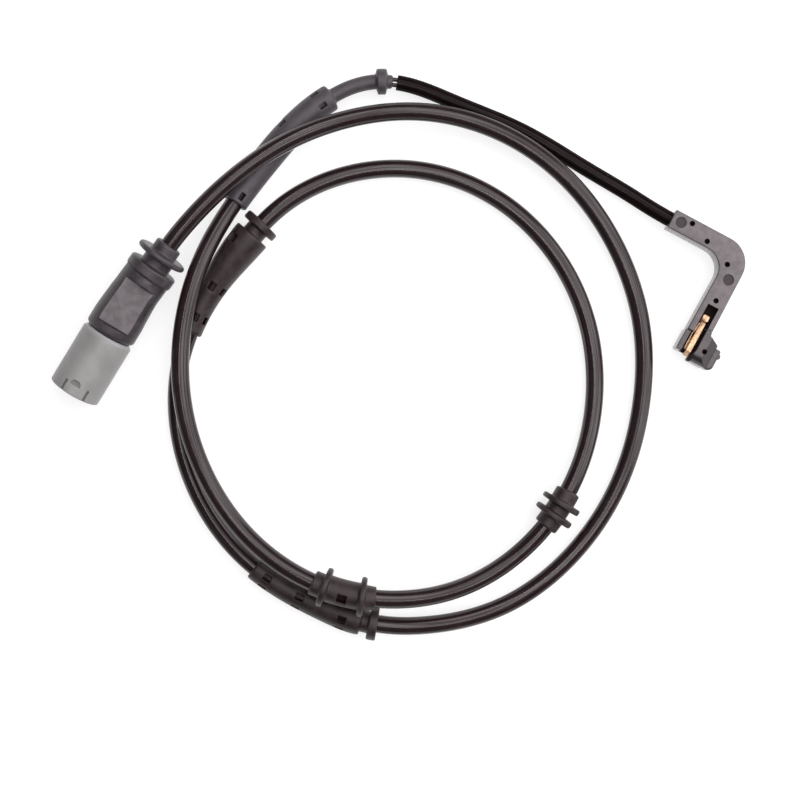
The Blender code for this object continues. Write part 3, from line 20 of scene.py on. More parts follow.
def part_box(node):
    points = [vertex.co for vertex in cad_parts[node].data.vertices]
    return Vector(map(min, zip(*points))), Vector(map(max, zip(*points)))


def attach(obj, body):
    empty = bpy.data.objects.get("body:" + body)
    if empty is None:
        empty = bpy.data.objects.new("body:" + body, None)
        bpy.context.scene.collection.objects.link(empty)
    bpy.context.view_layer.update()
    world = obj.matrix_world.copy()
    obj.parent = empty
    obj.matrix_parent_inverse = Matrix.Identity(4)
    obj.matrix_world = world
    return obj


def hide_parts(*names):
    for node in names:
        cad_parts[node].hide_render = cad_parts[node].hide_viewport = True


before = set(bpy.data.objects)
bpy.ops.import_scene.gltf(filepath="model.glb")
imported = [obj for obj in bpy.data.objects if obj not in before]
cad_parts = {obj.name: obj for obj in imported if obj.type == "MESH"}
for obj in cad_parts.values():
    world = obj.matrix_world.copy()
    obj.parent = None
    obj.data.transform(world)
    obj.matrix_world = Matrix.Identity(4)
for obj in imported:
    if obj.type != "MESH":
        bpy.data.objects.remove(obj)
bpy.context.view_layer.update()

MM = 0.001
BODY = "root"
LOG = logging.getLogger("wear_sensor")

# Route of the harness, the same points as in the part, in millimetres
HARNESS_POINTS = [
    (-79.4, 5.6, 9.37), (-76.6, 10.0, 9.96), (-72.1, 16.7, 10.85), (-67.3, 23.0, 11.75),
    (-62.1, 30.0, 12.75), (-54.6, 38.7, 13.5), (-47.2, 45.9, 13.45), (-41.3, 50.75, 13.15),
    (-33.9, 55.8, 12.8), (-16.2, 63.6, 11.3), (5.7, 66.7, 8.5), (28.5, 61.3, 6.1),
    (48.3, 47.1, 4.7), (60.6, 29.8, 3.0), (67.3, 10.0, 2.55), (67.6, -12.9, 2.55),
    (61.4, -35.5, 2.55), (47.8, -56.0, 2.55), (28.9, -69.8, 3.0), (7.6, -74.9, 4.4),
    (-6.3, -74.4, 4.85), (-20.4, -70.0, 4.3), (-33.9, -63.2, 3.9), (-46.9, -52.1, 3.4),
    (-57.1, -35.7, 2.8), (-61.8, -13.9, 2.75), (-60.6, -1.6, 3.2), (-53.5, 15.6, 4.1),
    (-40.3, 33.4, 5.6), (-32.7, 40.9, 5.2), (-19.0, 48.8, 3.0), (3.8, 51.7, 2.65),
    (27.1, 43.7, 2.55), (44.1, 27.2, 2.55), (53.1, 6.4, 2.6), (53.6, -18.6, 3.1),
    (46.2, -38.9, 5.85), (37.4, -50.9, 5.4), (21.4, -62.4, 7.2), (2.7, -66.8, 11.6),
    (-15.0, -65.1, 12.4), (-29.8, -58.9, 11.7), (-43.4, -47.6, 10.3), (-53.6, -31.9, 9.6),
    (-59.1, -13.7, 9.5), (-59.5, 4.6, 9.9), (-55.7, 21.8, 9.3), (-52.0, 30.6, 8.4), (-45.8, 41.3, 6.8),
    (-35.2, 55.7, 5.6), (-19.2, 71.2, 4.3), (-10.3, 75.2, 3.9), (-0.9, 75.7, 3.6),
    (15.6, 70.4, 2.4), (34.7, 62.3, 2.2), (52.3, 51.9, 2.15), (64.5, 44.5, 2.6),
    (71.4, 40.0, 3.3),
]
GAP = 0.3 * MM
SAMPLES_PER_SPAN = 60
ROUTE_LEAD = 20.0 * MM
FIT = 0.03 * MM
SEAT = 0.05 * MM
MERGE = 0.001 * MM
DRUM_SIDES = 48

CABLE_RADIUS = 2.5 * MM
CABLE_START = 13.1 * MM
WIRE_RADIUS = 0.6 * MM
WIRE_PITCH = 1.5 * MM
LOWER_START = 331.43 * MM
UPPER_START = 441.33 * MM
SPOOL_START = 641.23 * MM
WINDOW_START = 706.43 * MM
TAIL_START = 845.83 * MM
TAIL_LENGTH = 40.4 * MM
CABLE_END = TAIL_START + 29.0 * MM

# Stretches of the cable that lie in holders, as (start, length)
HELD = (
    (LOWER_START, 37.7 * MM), (UPPER_START, 37.0 * MM), (WINDOW_START, 17.9 * MM),
    (TAIL_START, TAIL_LENGTH),
)

# The plug's axis: where it leaves the collar's back, and its direction towards the cable
PLUG_ORIGIN = Vector(HARNESS_POINTS[0]) * MM
PLUG_AXIS = Vector((0.5322, 0.839, 0.1131))


class Combine(Enum):
    """What a second shape does to the first one."""

    CUT = "DIFFERENCE"
    JOIN = "UNION"


class FarEnd(Enum):
    """What a cord ends in."""

    OBJECT = "object"


def natural_bends(places: np.ndarray, knots: np.ndarray) -> np.ndarray:
    """Second derivatives of the natural cubic spline at its knots.

    Args:
        places: The parameter of each knot.
        knots: The knots, one row each.

    Returns:
        One row of second derivatives for each knot.
    """
    count = len(knots)
    matrix = np.eye(count)
    right = np.zeros_like(knots)
    for i in range(1, count - 1):
        before = places[i] - places[i - 1]
        after = places[i + 1] - places[i]
        matrix[i, i - 1] = before / 6.0
        matrix[i, i] = (before + after) / 3.0
        matrix[i, i + 1] = after / 6.0
        right[i] = (knots[i + 1] - knots[i]) / after - (knots[i] - knots[i - 1]) / before
    return np.linalg.solve(matrix, right)


def smooth_samples(places: np.ndarray, knots: np.ndarray, per_span: int) -> np.ndarray:
    """Points of the natural cubic spline, evenly many in each span.

    Args:
        places: The parameter of each knot.
        knots: The knots, one row each.
        per_span: How many points each span gets.

    Returns:
        The points, one row each, with the last knot at the end.
    """
    bends = natural_bends(places, knots)
    samples = []
    for i, span in enumerate(np.diff(places)):
        for step in range(per_span):
            b = step / per_span
            a = 1.0 - b
            curve = (a ** 3 - a) * bends[i] + (b ** 3 - b) * bends[i + 1]
            samples.append(a * knots[i] + b * knots[i + 1] + curve * span ** 2 / 6.0)
    samples.append(knots[-1])
    return np.array(samples)


class Route:
    """A smooth curve through the route's points, addressed by the distance along it."""

    def __init__(self, points: Sequence[Vector]) -> None:
        """Lay the curve.

        Args:
            points: The route's points in metres.
        """
        knots = np.array(points, dtype=float)
        spans = np.linalg.norm(np.diff(knots, axis=0), axis=1)
        places = np.concatenate(([0.0], np.cumsum(spans)))
        self.samples = smooth_samples(places, knots, SAMPLES_PER_SPAN)
        steps = np.linalg.norm(np.diff(self.samples, axis=0), axis=1)
        self.stations = np.concatenate(([0.0], np.cumsum(steps)))
        self.tangents = np.gradient(self.samples, self.stations, axis=0)
        self.length = float(self.stations[-1])
        self.guide = self._guide()

    def _look_up(self, table: np.ndarray, station: float) -> Vector:
        """The table's row at a station, between samples."""
        return Vector([float(np.interp(station, self.stations, table[:, i])) for i in range(3)])

    def tangent(self, station: float) -> Vector:
        """The route's direction at a station."""
        return self._look_up(self.tangents, station).normalized()

    def point(self, station: float) -> Vector:
        """The point at a station; beyond either end the route goes straight on."""
        inside = min(max(station, 0.0), self.length)
        return self._look_up(self.samples, inside) + self.tangent(inside) * (station - inside)

    def frame(self, station: float) -> Matrix:
        """Matrix with local x to the left, y up and z forwards at a station."""
        forwards = self.tangent(station)
        left = Vector((0.0, 0.0, 1.0)).cross(forwards).normalized()
        matrix = Matrix((left, forwards.cross(left), forwards)).transposed().to_4x4()
        matrix.translation = self.point(station)
        return matrix

    def station_near(self, point: Vector) -> float:
        """The station whose point on the route is nearest to a point beside it."""
        distances = np.linalg.norm(self.samples - np.array(point), axis=1)
        nearest = int(np.argmin(distances))
        rest = point - Vector(self.samples[nearest])
        return float(self.stations[nearest]) + rest.dot(Vector(self.tangents[nearest]))

    def spread(self, start: float, end: float, spacing: float, side: float = 0.0) -> list[Vector]:
        """Evenly spaced points from one station to another.

        Args:
            start: The first station.
            end: The last station.
            spacing: About how far the points are apart.
            side: How far the points lie to the left of the route.

        Returns:
            The points.
        """
        count = max(2, int(round((end - start) / spacing)) + 1)
        stations = np.linspace(start, end, count)
        return [self.frame(float(s)) @ Vector((side, 0.0, 0.0)) for s in stations]

    def _guide(self) -> bpy.types.Object:
        """A hidden curve object along the route, with a straight lead before its start."""
        curve = bpy.data.curves.new("route_guide", "CURVE")
        curve.dimensions = "3D"
        spline = curve.splines.new("POLY")
        lead = [self.point(-ROUTE_LEAD)]
        points = lead + [Vector(sample) for sample in self.samples]
        spline.points.add(len(points) - 1)
        for i, point in enumerate(points):
            spline.points[i].co = (*point, 1.0)
        guide = bpy.data.objects.new("route_guide", curve)
        bpy.context.scene.collection.objects.link(guide)
        return guide


@dataclass(frozen=True)
class Socket:
    """One input or output of a node group."""

    name: str
    kind: str
    value: Optional[float] = None


class Sheet:
    """A node tree with short calls to add and link nodes."""

    def __init__(self, tree: bpy.types.NodeTree) -> None:
        """Wrap a tree.

        Args:
            tree: The node tree to fill.
        """
        self.tree = tree

    @classmethod
    def group(cls, name: str, kind: str, inputs: Sequence[Socket], outputs: Sequence[Socket]) -> "Sheet":
        """Start a new node group with named inputs and outputs.

        Args:
            name: The group's name.
            kind: SHADER_TREE or GEOMETRY_TREE.
            inputs: Its inputs in order.
            outputs: Its outputs in order.

        Returns:
            The sheet of the new group.
        """
        tree = bpy.data.node_groups.new(name, kind)
        for side, sockets in (("INPUT", inputs), ("OUTPUT", outputs)):
            for socket in sockets:
                item = tree.interface.new_socket(socket.name, in_out=side, socket_type=socket.kind)
                if socket.value is not None:
                    item.default_value = socket.value
        return cls(tree)

    def add(self, kind: str, values: Optional[dict] = None, **settings: object) -> bpy.types.Node:
        """Add a node.

        Args:
            kind: The node's type.
            values: Values or output sockets for its inputs, by name or number.
            **settings: Properties of the node itself.

        Returns:
            The new node.
        """
        node = self.tree.nodes.new(kind)
        for key, setting in settings.items():
            setattr(node, key, setting)
        for key, value in (values or {}).items():
            if isinstance(value, bpy.types.NodeSocket):
                self.tree.links.new(value, node.inputs[key])
            else:
                node.inputs[key].default_value = value
        return node

    def math(self, operation: str, *values: object) -> bpy.types.NodeSocket:
        """The result of a Math node on values or sockets."""
        node = self.add("ShaderNodeMath", dict(enumerate(values)), operation=operation)
        return node.outputs[0]

    def vector(self, operation: str, *values: object) -> bpy.types.NodeSocket:
        """The vector result of a Vector Math node on values or sockets."""
        node = self.add("ShaderNodeVectorMath", dict(enumerate(values)), operation=operation)
        return node.outputs[0]

    def scale(self, vector: object, amount: object) -> bpy.types.NodeSocket:
        """A vector made longer or shorter by a factor."""
        return self.add("ShaderNodeVectorMath", {0: vector, "Scale": amount}, operation="SCALE").outputs[0]

    def measure(self, operation: str, *values: object) -> bpy.types.NodeSocket:
        """The number that a Vector Math node works out from its vectors."""
        node = self.add("ShaderNodeVectorMath", dict(enumerate(values)), operation=operation)
        return node.outputs["Value"]

    def span(self, value: object, low: float, high: float, to_low: float, to_high: float,
             smooth: bool = False) -> bpy.types.NodeSocket:
        """A value mapped from one range to another and held inside it.

        Args:
            value: The socket to map.
            low: Start of the old range.
            high: End of the old range.
            to_low: Start of the new range.
            to_high: End of the new range.
            smooth: Whether the change is eased at both ends.

        Returns:
            The mapped socket.
        """
        node = self.add("ShaderNodeMapRange", {0: value, 1: low, 2: high, 3: to_low, 4: to_high},
                        interpolation_type="SMOOTHSTEP" if smooth else "LINEAR")
        return node.outputs[0]

    def mix(self, share: object, first: object, second: object) -> bpy.types.NodeSocket:
        """Two colours mixed by a share of the second."""
        node = self.add("ShaderNodeMix", {0: share, 6: first, 7: second}, data_type="RGBA")
        return node.outputs[2]


FLOAT = "NodeSocketFloat"
VECTOR = "NodeSocketVector"
GEOMETRY = "NodeSocketGeometry"
SHADER_TREE = "ShaderNodeTree"
GEOMETRY_TREE = "GeometryNodeTree"


class SurfaceGroups:
    """Shader node groups that several finishes share, each built once."""

    def __init__(self) -> None:
        """Build the groups."""
        self.moulding = self._moulding()
        self.edges = self._edges()
        self.dust = self._dust()
        self.drawn = self._drawn()
        self.plug = self._plug()

    @staticmethod
    def _moulding() -> bpy.types.NodeTree:
        """Broad mottle and fine grain of a moulded surface, both from 0 to 1."""
        inputs = [Socket("Mottle Size", FLOAT, 4.0 * MM), Socket("Grain Size", FLOAT, 0.12 * MM)]
        outputs = [Socket("Mottle", FLOAT), Socket("Grain", FLOAT)]
        sheet = Sheet.group("moulding", SHADER_TREE, inputs, outputs)
        given = sheet.add("NodeGroupInput")
        place = sheet.add("ShaderNodeTexCoord").outputs["Object"]
        results = {}
        for name, detail in (("Mottle", 4.0), ("Grain", 2.0)):
            scale = sheet.math("DIVIDE", 1.0, given.outputs[f"{name} Size"])
            noise = sheet.add("ShaderNodeTexNoise", {"Vector": place, "Scale": scale, "Detail": detail,
                                                     "Roughness": 0.55})
            results[name] = sheet.span(noise.outputs[0], 0.3, 0.7, 0.0, 1.0, smooth=True)
        sheet.add("NodeGroupOutput", results)
        return sheet.tree

    @staticmethod
    def _edges() -> bpy.types.NodeTree:
        """Mask of the edges of a piece, from the turn of its rounded normal."""
        outputs = [Socket("Edge", FLOAT), Socket("Normal", VECTOR)]
        sheet = Sheet.group("edges", SHADER_TREE, [Socket("Reach", FLOAT, 0.25 * MM)], outputs)
        given = sheet.add("NodeGroupInput")
        rounded = sheet.add("ShaderNodeBevel", {"Radius": given.outputs["Reach"]}, samples=6).outputs[0]
        true = sheet.add("ShaderNodeNewGeometry").outputs["Normal"]
        turn = sheet.measure("DOT_PRODUCT", rounded, true)
        edge = sheet.span(turn, 0.97, 0.80, 0.0, 1.0, smooth=True)
        sheet.add("NodeGroupOutput", {"Edge": edge, "Normal": rounded})
        return sheet.tree

    @staticmethod
    def _dust() -> bpy.types.NodeTree:
        """Mask of sparse fine specks of dust."""
        inputs = [Socket("Size", FLOAT, 0.25 * MM), Socket("Share", FLOAT, 0.1)]
        sheet = Sheet.group("dust", SHADER_TREE, inputs, [Socket("Dust", FLOAT)])
        given = sheet.add("NodeGroupInput")
        place = sheet.add("ShaderNodeTexCoord").outputs["Object"]
        scale = sheet.math("DIVIDE", 1.0, given.outputs["Size"])
        cells = sheet.add("ShaderNodeTexVoronoi", {"Vector": place, "Scale": scale})
        noise = sheet.add("ShaderNodeTexWhiteNoise", {"Vector": cells.outputs["Position"]},
                          noise_dimensions="3D")
        chosen = sheet.math("LESS_THAN", noise.outputs["Value"], given.outputs["Share"])
        near = sheet.span(cells.outputs["Distance"], 0.12, 0.32, 1.0, 0.0, smooth=True)
        sheet.add("NodeGroupOutput", {"Dust": sheet.math("MULTIPLY", chosen, near)})
        return sheet.tree

    @staticmethod
    def _drawn() -> bpy.types.NodeTree:
        """Fine lines along a drawn jacket, from 0 to 1, by the sweep's own attributes, and a mask that is 0
        on the stretches in holders, where the coat is turned down as painted shade.
        """
        inputs = [Socket("Lines", FLOAT, 9.0), Socket("Length", FLOAT, 30.0 * MM)]
        outputs = [Socket("Line", FLOAT), Socket("Free", FLOAT)]
        sheet = Sheet.group("drawn", SHADER_TREE, inputs, outputs)
        given = sheet.add("NodeGroupInput")
        ring = sheet.add("ShaderNodeAttribute", attribute_name="ring").outputs["Vector"]
        along = sheet.add("ShaderNodeAttribute", attribute_name="along").outputs["Fac"]
        spread = sheet.scale(ring, given.outputs["Lines"])
        rise = sheet.math("DIVIDE", along, given.outputs["Length"])
        place = sheet.vector("ADD", spread, sheet.add("ShaderNodeCombineXYZ", {2: rise}).outputs[0])
        noise = sheet.add("ShaderNodeTexNoise", {"Vector": place, "Scale": 1.0, "Detail": 3.0})
        free = 1.0
        for start, length in HELD:
            middle = start - CABLE_START + length / 2.0
            off = sheet.math("ABSOLUTE", sheet.math("SUBTRACT", along, middle))
            free = sheet.math("MULTIPLY", free, sheet.math("GREATER_THAN", off, length / 2.0 - MM))
        line = sheet.span(noise.outputs[0], 0.3, 0.7, 0.0, 1.0)
        sheet.add("NodeGroupOutput", {"Line": line, "Free": free})
        return sheet.tree

    @staticmethod
    def _plug() -> bpy.types.NodeTree:
        """Distance along the plug's axis, and from it, in millimetres."""
        outputs = [Socket("Along", FLOAT), Socket("Radius", FLOAT)]
        sheet = Sheet.group("plug_places", SHADER_TREE, [], outputs)
        place = sheet.add("ShaderNodeTexCoord").outputs["Object"]
        off = sheet.vector("SUBTRACT", place, tuple(PLUG_ORIGIN))
        local = sheet.scale(off, 1.0 / MM)
        axis = tuple(PLUG_AXIS.normalized())
        along = sheet.measure("DOT_PRODUCT", local, axis)
        radius = sheet.measure("LENGTH", sheet.vector("CROSS_PRODUCT", local, axis))
        sheet.add("NodeGroupOutput", {"Along": along, "Radius": radius})
        return sheet.tree


GROUPS = SurfaceGroups()
Colour = tuple[float, float, float]
Place = tuple[float, float, float]
Pair = tuple[float, float]
Looks = tuple[bpy.types.NodeSocket, bpy.types.NodeSocket]

# The sensor head's own frame, with u to the nose and v to the outer side; places on it are in millimetres
HEAD_ORIGIN = Vector((83.15, 6.74, 0.0)) * MM
HEAD_ANGLE = -118.2
ARM_PITS = ((-24.9, -15.8), (-22.5, -9.9), (-19.5, -2.0), (-9.2, 0.0))
NOSE_PIT = (4.7, 3.9)
ROUND_MARKS = ((-23.7, -18.7), (-15.9, 0.3))
MARK_RADIUS = 1.5
DUST_COLOR = (0.45, 0.43, 0.4, 1.0)
DUST_COVER = 0.35


@dataclass(frozen=True)
class MouldedFinish:
    """A moulded plastic or rubber: colour, mottle, grain, edges and creases turned to an edge colour, and
    dust. The edge colour is paler on most finishes; the darker one of the head, the nose and the boot is
    painted shade along rounded edges and in creases. On drawn jackets the coat is turned down in the holders
    as painted shade.
    """

    name: str
    color: Colour
    mottle_color: Colour
    # Colour that edges and creases turn to; where it is darker than the surface it is painted shade.
    edge_color: Colour
    roughness: float
    roughness_range: float = 0.1
    mottle_size: float = 4.0 * MM
    grain_size: float = 0.15 * MM
    grain_depth: float = 0.01 * MM
    edge_reach: float = 0.25 * MM
    edge_share: float = 0.5
    dust_share: float = 0.01
    dust_size: float = 0.3 * MM
    drawn_depth: float = 0.0
    drawn_roughness: Pair = (-0.04, 0.05)
    specular: float = 0.5
    gloss: Pair = (0.0, 0.0)
    # Coat left inside the holders, a painted shade on the cable's reflection there.
    held_shade_gloss: float = 0.15
    gloss_roughness: float = 0.2
    gloss_ior: float = 1.6

    def mark(self, sheet: Sheet, color: bpy.types.NodeSocket, rough: bpy.types.NodeSocket) -> Looks:
        """Colour and roughness with a finish's own marks; a plain moulding has none."""
        return color, rough

    def build(self) -> bpy.types.Material:
        """Build the material.

        Returns:
            The new material.
        """
        material = bpy.data.materials.new(self.name)
        material.use_nodes = True
        sheet = Sheet(material.node_tree)
        shader = material.node_tree.nodes["Principled BSDF"]
        shader.inputs["Specular IOR Level"].default_value = self.specular
        moulding = sheet.add("ShaderNodeGroup", node_tree=GROUPS.moulding)
        moulding.inputs["Mottle Size"].default_value = self.mottle_size
        moulding.inputs["Grain Size"].default_value = self.grain_size
        edges = sheet.add("ShaderNodeGroup", node_tree=GROUPS.edges)
        edges.inputs["Reach"].default_value = self.edge_reach
        dust = sheet.add("ShaderNodeGroup", node_tree=GROUPS.dust)
        dust.inputs["Share"].default_value = self.dust_share
        dust.inputs["Size"].default_value = self.dust_size
        color = sheet.mix(moulding.outputs["Mottle"], (*self.color, 1.0), (*self.mottle_color, 1.0))
        # Edges and creases turn to the edge colour; a darker edge colour is painted shade.
        edge = sheet.math("MULTIPLY", edges.outputs["Edge"], self.edge_share)
        color = sheet.mix(edge, color, (*self.edge_color, 1.0))
        low = self.roughness - self.roughness_range / 2.0
        rough = sheet.span(moulding.outputs["Mottle"], 0.0, 1.0, low, low + self.roughness_range)
        color, rough = self.mark(sheet, color, rough)
        speck = sheet.math("MULTIPLY", dust.outputs["Dust"], DUST_COVER)
        color = sheet.mix(speck, color, DUST_COLOR)
        height = moulding.outputs["Grain"]
        if self.drawn_depth > 0.0:
            drawn = sheet.add("ShaderNodeGroup", node_tree=GROUPS.drawn)
            lines = sheet.math("MULTIPLY", drawn.outputs["Line"], self.drawn_depth / self.grain_depth)
            height = sheet.math("ADD", height, lines)
            smoother = sheet.span(drawn.outputs["Line"], 0.0, 1.0, *self.drawn_roughness)
            rough = sheet.math("ADD", rough, smoother)
            gloss = sheet.span(drawn.outputs["Line"], 0.2, 0.8, *self.gloss)
            # Inside the holders the coat is turned down, a painted shade on the cable's reflection.
            free = sheet.span(drawn.outputs["Free"], 0.0, 1.0, self.held_shade_gloss, 1.0)
            gloss = sheet.math("MULTIPLY", gloss, free)
            sheet.tree.links.new(gloss, shader.inputs["Coat Weight"])
            shader.inputs["Coat Roughness"].default_value = self.gloss_roughness
            shader.inputs["Coat IOR"].default_value = self.gloss_ior
        bump = sheet.add("ShaderNodeBump", {"Height": height, "Distance": self.grain_depth,
                                            "Normal": edges.outputs["Normal"]})
        sheet.tree.links.new(color, shader.inputs["Base Color"])
        sheet.tree.links.new(rough, shader.inputs["Roughness"])
        sheet.tree.links.new(bump.outputs[0], shader.inputs["Normal"])
        return material


@dataclass(frozen=True)
class HeadFinish(MouldedFinish):
    """The sensor head's plastic, with painted shade on its slopes and rounded edges, black painted shade in
    the pits, dark painted shade in the slot, and matt discs.
    """

    pits: tuple[Pair, ...] = ARM_PITS + (NOSE_PIT,)
    discs: tuple[Pair, ...] = ROUND_MARKS
    pit_reach: float = 0.72
    rim: float = 0.06
    # Black painted shade in the pits.
    pit_shade_color: Colour = (0.005, 0.002, 0.002)
    # Dark painted shade in the slot.
    slot_shade_color: Colour = (0.013, 0.005, 0.004)
    disc_color: Colour = (0.06, 0.053, 0.055)
    slot_low: Place = (-7.6, -2.1, 2.0)
    slot_high: Place = (9.0, 1.76, 6.85)
    level: Pair = (0.9, 0.97)
    upright: Pair = (0.1, 0.3)
    wall_gloss: float = 0.5
    # Painted shade on the slopes and rounded edges, found by their facing.
    slope_shade_color: Colour = (0.022, 0.016, 0.016)
    slope_shade_share: float = 0.85
    hidden_roughness: float = 0.95

    def mark(self, sheet: Sheet, color: bpy.types.NodeSocket, rough: bpy.types.NodeSocket) -> Looks:
        """Paint shade onto rounded edges and slopes by their facing and into the pits and the slot by their
        places, and darken the discs by their places.
        """
        # Faces between the flat top and the upright walls get a painted shade.
        normal = sheet.add("ShaderNodeNewGeometry").outputs["True Normal"]
        up = sheet.add("ShaderNodeSeparateXYZ", {0: normal}).outputs[2]
        slope = sheet.math("MULTIPLY", sheet.span(up, *self.level, 1.0, 0.0),
                           sheet.span(up, *self.upright, 0.0, 1.0))
        color = sheet.mix(sheet.math("MULTIPLY", slope, self.slope_shade_share), color, (*self.slope_shade_color, 1.0))
        rough = sheet.math("MULTIPLY", rough, sheet.span(up, *self.level, self.wall_gloss, 1.0))
        place = sheet.add("ShaderNodeTexCoord").outputs["Object"]
        local = sheet.add("ShaderNodeMapping", {"Vector": place, "Location": HEAD_ORIGIN,
                                                "Rotation": (0.0, 0.0, math.radians(HEAD_ANGLE)),
                                                "Scale": (MM, MM, MM)}, vector_type="TEXTURE").outputs[0]
        flat = sheet.vector("MULTIPLY", local, (1.0, 1.0, 0.0))
        # The discs get their own darker matt colour; the pits get a black painted shade.
        for places, radius, tint in ((self.discs, MARK_RADIUS, self.disc_color),
                                     (self.pits, self.pit_reach, self.pit_shade_color)):
            mask = 0.0
            for u, v in places:
                off = sheet.measure("DISTANCE", flat, (u, v, 0.0))
                mask = sheet.math("MAXIMUM", mask, sheet.span(off, radius, radius + self.rim, 1.0, 0.0))
            color = sheet.mix(mask, color, (*tint, 1.0))
            rough = sheet.math("MAXIMUM", rough, sheet.math("MULTIPLY", mask, self.hidden_roughness))
        # The slot's box, in the head's frame, gets a dark painted shade.
        inside = 1.0
        parts = sheet.add("ShaderNodeSeparateXYZ", {0: local})
        for i in range(3):
            above = sheet.math("GREATER_THAN", parts.outputs[i], self.slot_low[i])
            below = sheet.math("LESS_THAN", parts.outputs[i], self.slot_high[i])
            inside = sheet.math("MULTIPLY", inside, sheet.math("MULTIPLY", above, below))
        rough = sheet.math("MAXIMUM", rough, sheet.math("MULTIPLY", inside, self.hidden_roughness))
        return sheet.mix(inside, color, (*self.slot_shade_color, 1.0)), rough


@dataclass(frozen=True)
class BootFinish(MouldedFinish):
    """The boot's rubber, with a pale cloudy painted sheen on its flat panel and on up-turned faces behind it,
    and painted shade lines in the grooves at the panel's ends.
    """

    facing: Place = (0.1, -0.134, 0.986)
    panel: Pair = (3.05, 16.75)
    # Where the painted sheen on the faces behind the panel ends.
    sheen_end: float = 19.3
    # Painted shade lines in the grooves at the panel's ends.
    line: Pair = (0.08, 0.24)
    shade_line_share: float = 0.9
    flat_sheen: Pair = (0.45, 1.0)
    bent_sheen: float = 0.5
    sheen_color: Colour = (0.142, 0.129, 0.138)
    sheen_size: float = 2.6 * MM

    def mark(self, sheet: Sheet, color: bpy.types.NodeSocket, rough: bpy.types.NodeSocket) -> Looks:
        """Paint the sheen by place and facing, and paint the shade lines in the grooves at the panel's ends.
        """
        low, high = self.panel
        along = sheet.add("ShaderNodeGroup", node_tree=GROUPS.plug).outputs["Along"]
        normal = sheet.add("ShaderNodeNewGeometry").outputs["True Normal"]
        facing = tuple(Vector(self.facing).normalized())
        turn = sheet.measure("DOT_PRODUCT", normal, facing)
        cloud = sheet.add("ShaderNodeGroup", node_tree=GROUPS.moulding)
        cloud.inputs["Mottle Size"].default_value = self.sheen_size
        # Pale cloudy painted sheen on the flat panel, and on faces behind it the more they turn the same way.
        after = sheet.math("GREATER_THAN", along, low)
        flat = sheet.math("MULTIPLY", sheet.span(turn, 0.98, 0.99, 0.0, 1.0), after)
        flat = sheet.math("MULTIPLY", flat, sheet.math("LESS_THAN", along, high))
        flat = sheet.math("MULTIPLY", flat, sheet.span(cloud.outputs["Mottle"], 0.0, 1.0, *self.flat_sheen))
        after = sheet.math("GREATER_THAN", along, high)
        behind = sheet.math("MULTIPLY", sheet.span(turn, 0.8, 0.97, 0.0, self.bent_sheen), after)
        behind = sheet.math("MULTIPLY", behind, sheet.math("LESS_THAN", along, self.sheen_end))
        behind = sheet.math("MULTIPLY", behind, sheet.span(cloud.outputs["Mottle"], 0.45, 1.0, 0.0, 1.0))
        color = sheet.mix(sheet.math("MAXIMUM", flat, behind), color, (*self.sheen_color, 1.0))
        # Painted shade lines in the grooves at the panel's ends, on up-turned faces, in the edge colour.
        upward = sheet.span(turn, 0.9, 0.95, 0.0, self.shade_line_share)
        for end in self.panel:
            off = sheet.math("ABSOLUTE", sheet.math("SUBTRACT", along, end))
            line = sheet.math("MULTIPLY", sheet.span(off, *self.line, 1.0, 0.0), upward)
            color = sheet.mix(line, color, (*self.edge_color, 1.0))
        return color, rough


@dataclass(frozen=True)
class CollarFinish(MouldedFinish):
    """The collar's plastic, with painted shade in its grooves and dent, a painted highlight on the lip at its
    back and a painted shade line in front of the lip.
    """

    surface: Pair = (7.1, 7.2)
    lip: Pair = (-0.8, -0.65)
    back_edge: float = -1.3
    # Painted shade in the grooves and the dent.
    recess_shade_share: float = 0.75
    # Painted shade line in front of the lip.
    shade_line_width: float = 0.12
    shade_line_share: float = 0.35
    # Painted highlight on the lip.
    lip_highlight_color: Colour = (0.35, 0.36, 0.375)
    # Colour of the painted shade in the recesses and in the line.
    recess_shade_color: Colour = (0.14, 0.14, 0.14)

    def mark(self, sheet: Sheet, color: bpy.types.NodeSocket, rough: bpy.types.NodeSocket) -> Looks:
        """Paint shade into the recesses, a highlight onto the lip and a shade line in front of it, by their
        places.
        """
        plug = sheet.add("ShaderNodeGroup", node_tree=GROUPS.plug)
        along, radius = plug.outputs
        # Recesses below the surface, ahead of the back edge, get a painted shade.
        ahead = sheet.math("LESS_THAN", along, self.back_edge)
        recess_shade = sheet.math("MULTIPLY", sheet.span(radius, *self.surface, self.recess_shade_share, 0.0), ahead)
        color = sheet.mix(recess_shade, color, (*self.recess_shade_color, 1.0))
        # Painted highlight on the lip at the collar's back.
        color = sheet.mix(sheet.span(along, *self.lip, 0.0, 1.0), color, (*self.lip_highlight_color, 1.0))
        # A painted shade line in front of the lip.
        off = sheet.math("ABSOLUTE", sheet.math("SUBTRACT", along, self.lip[0]))
        line = sheet.span(off, self.shade_line_width / 2.0, self.shade_line_width, self.shade_line_share, 0.0)
        return sheet.mix(line, color, (*self.recess_shade_color, 1.0)), rough


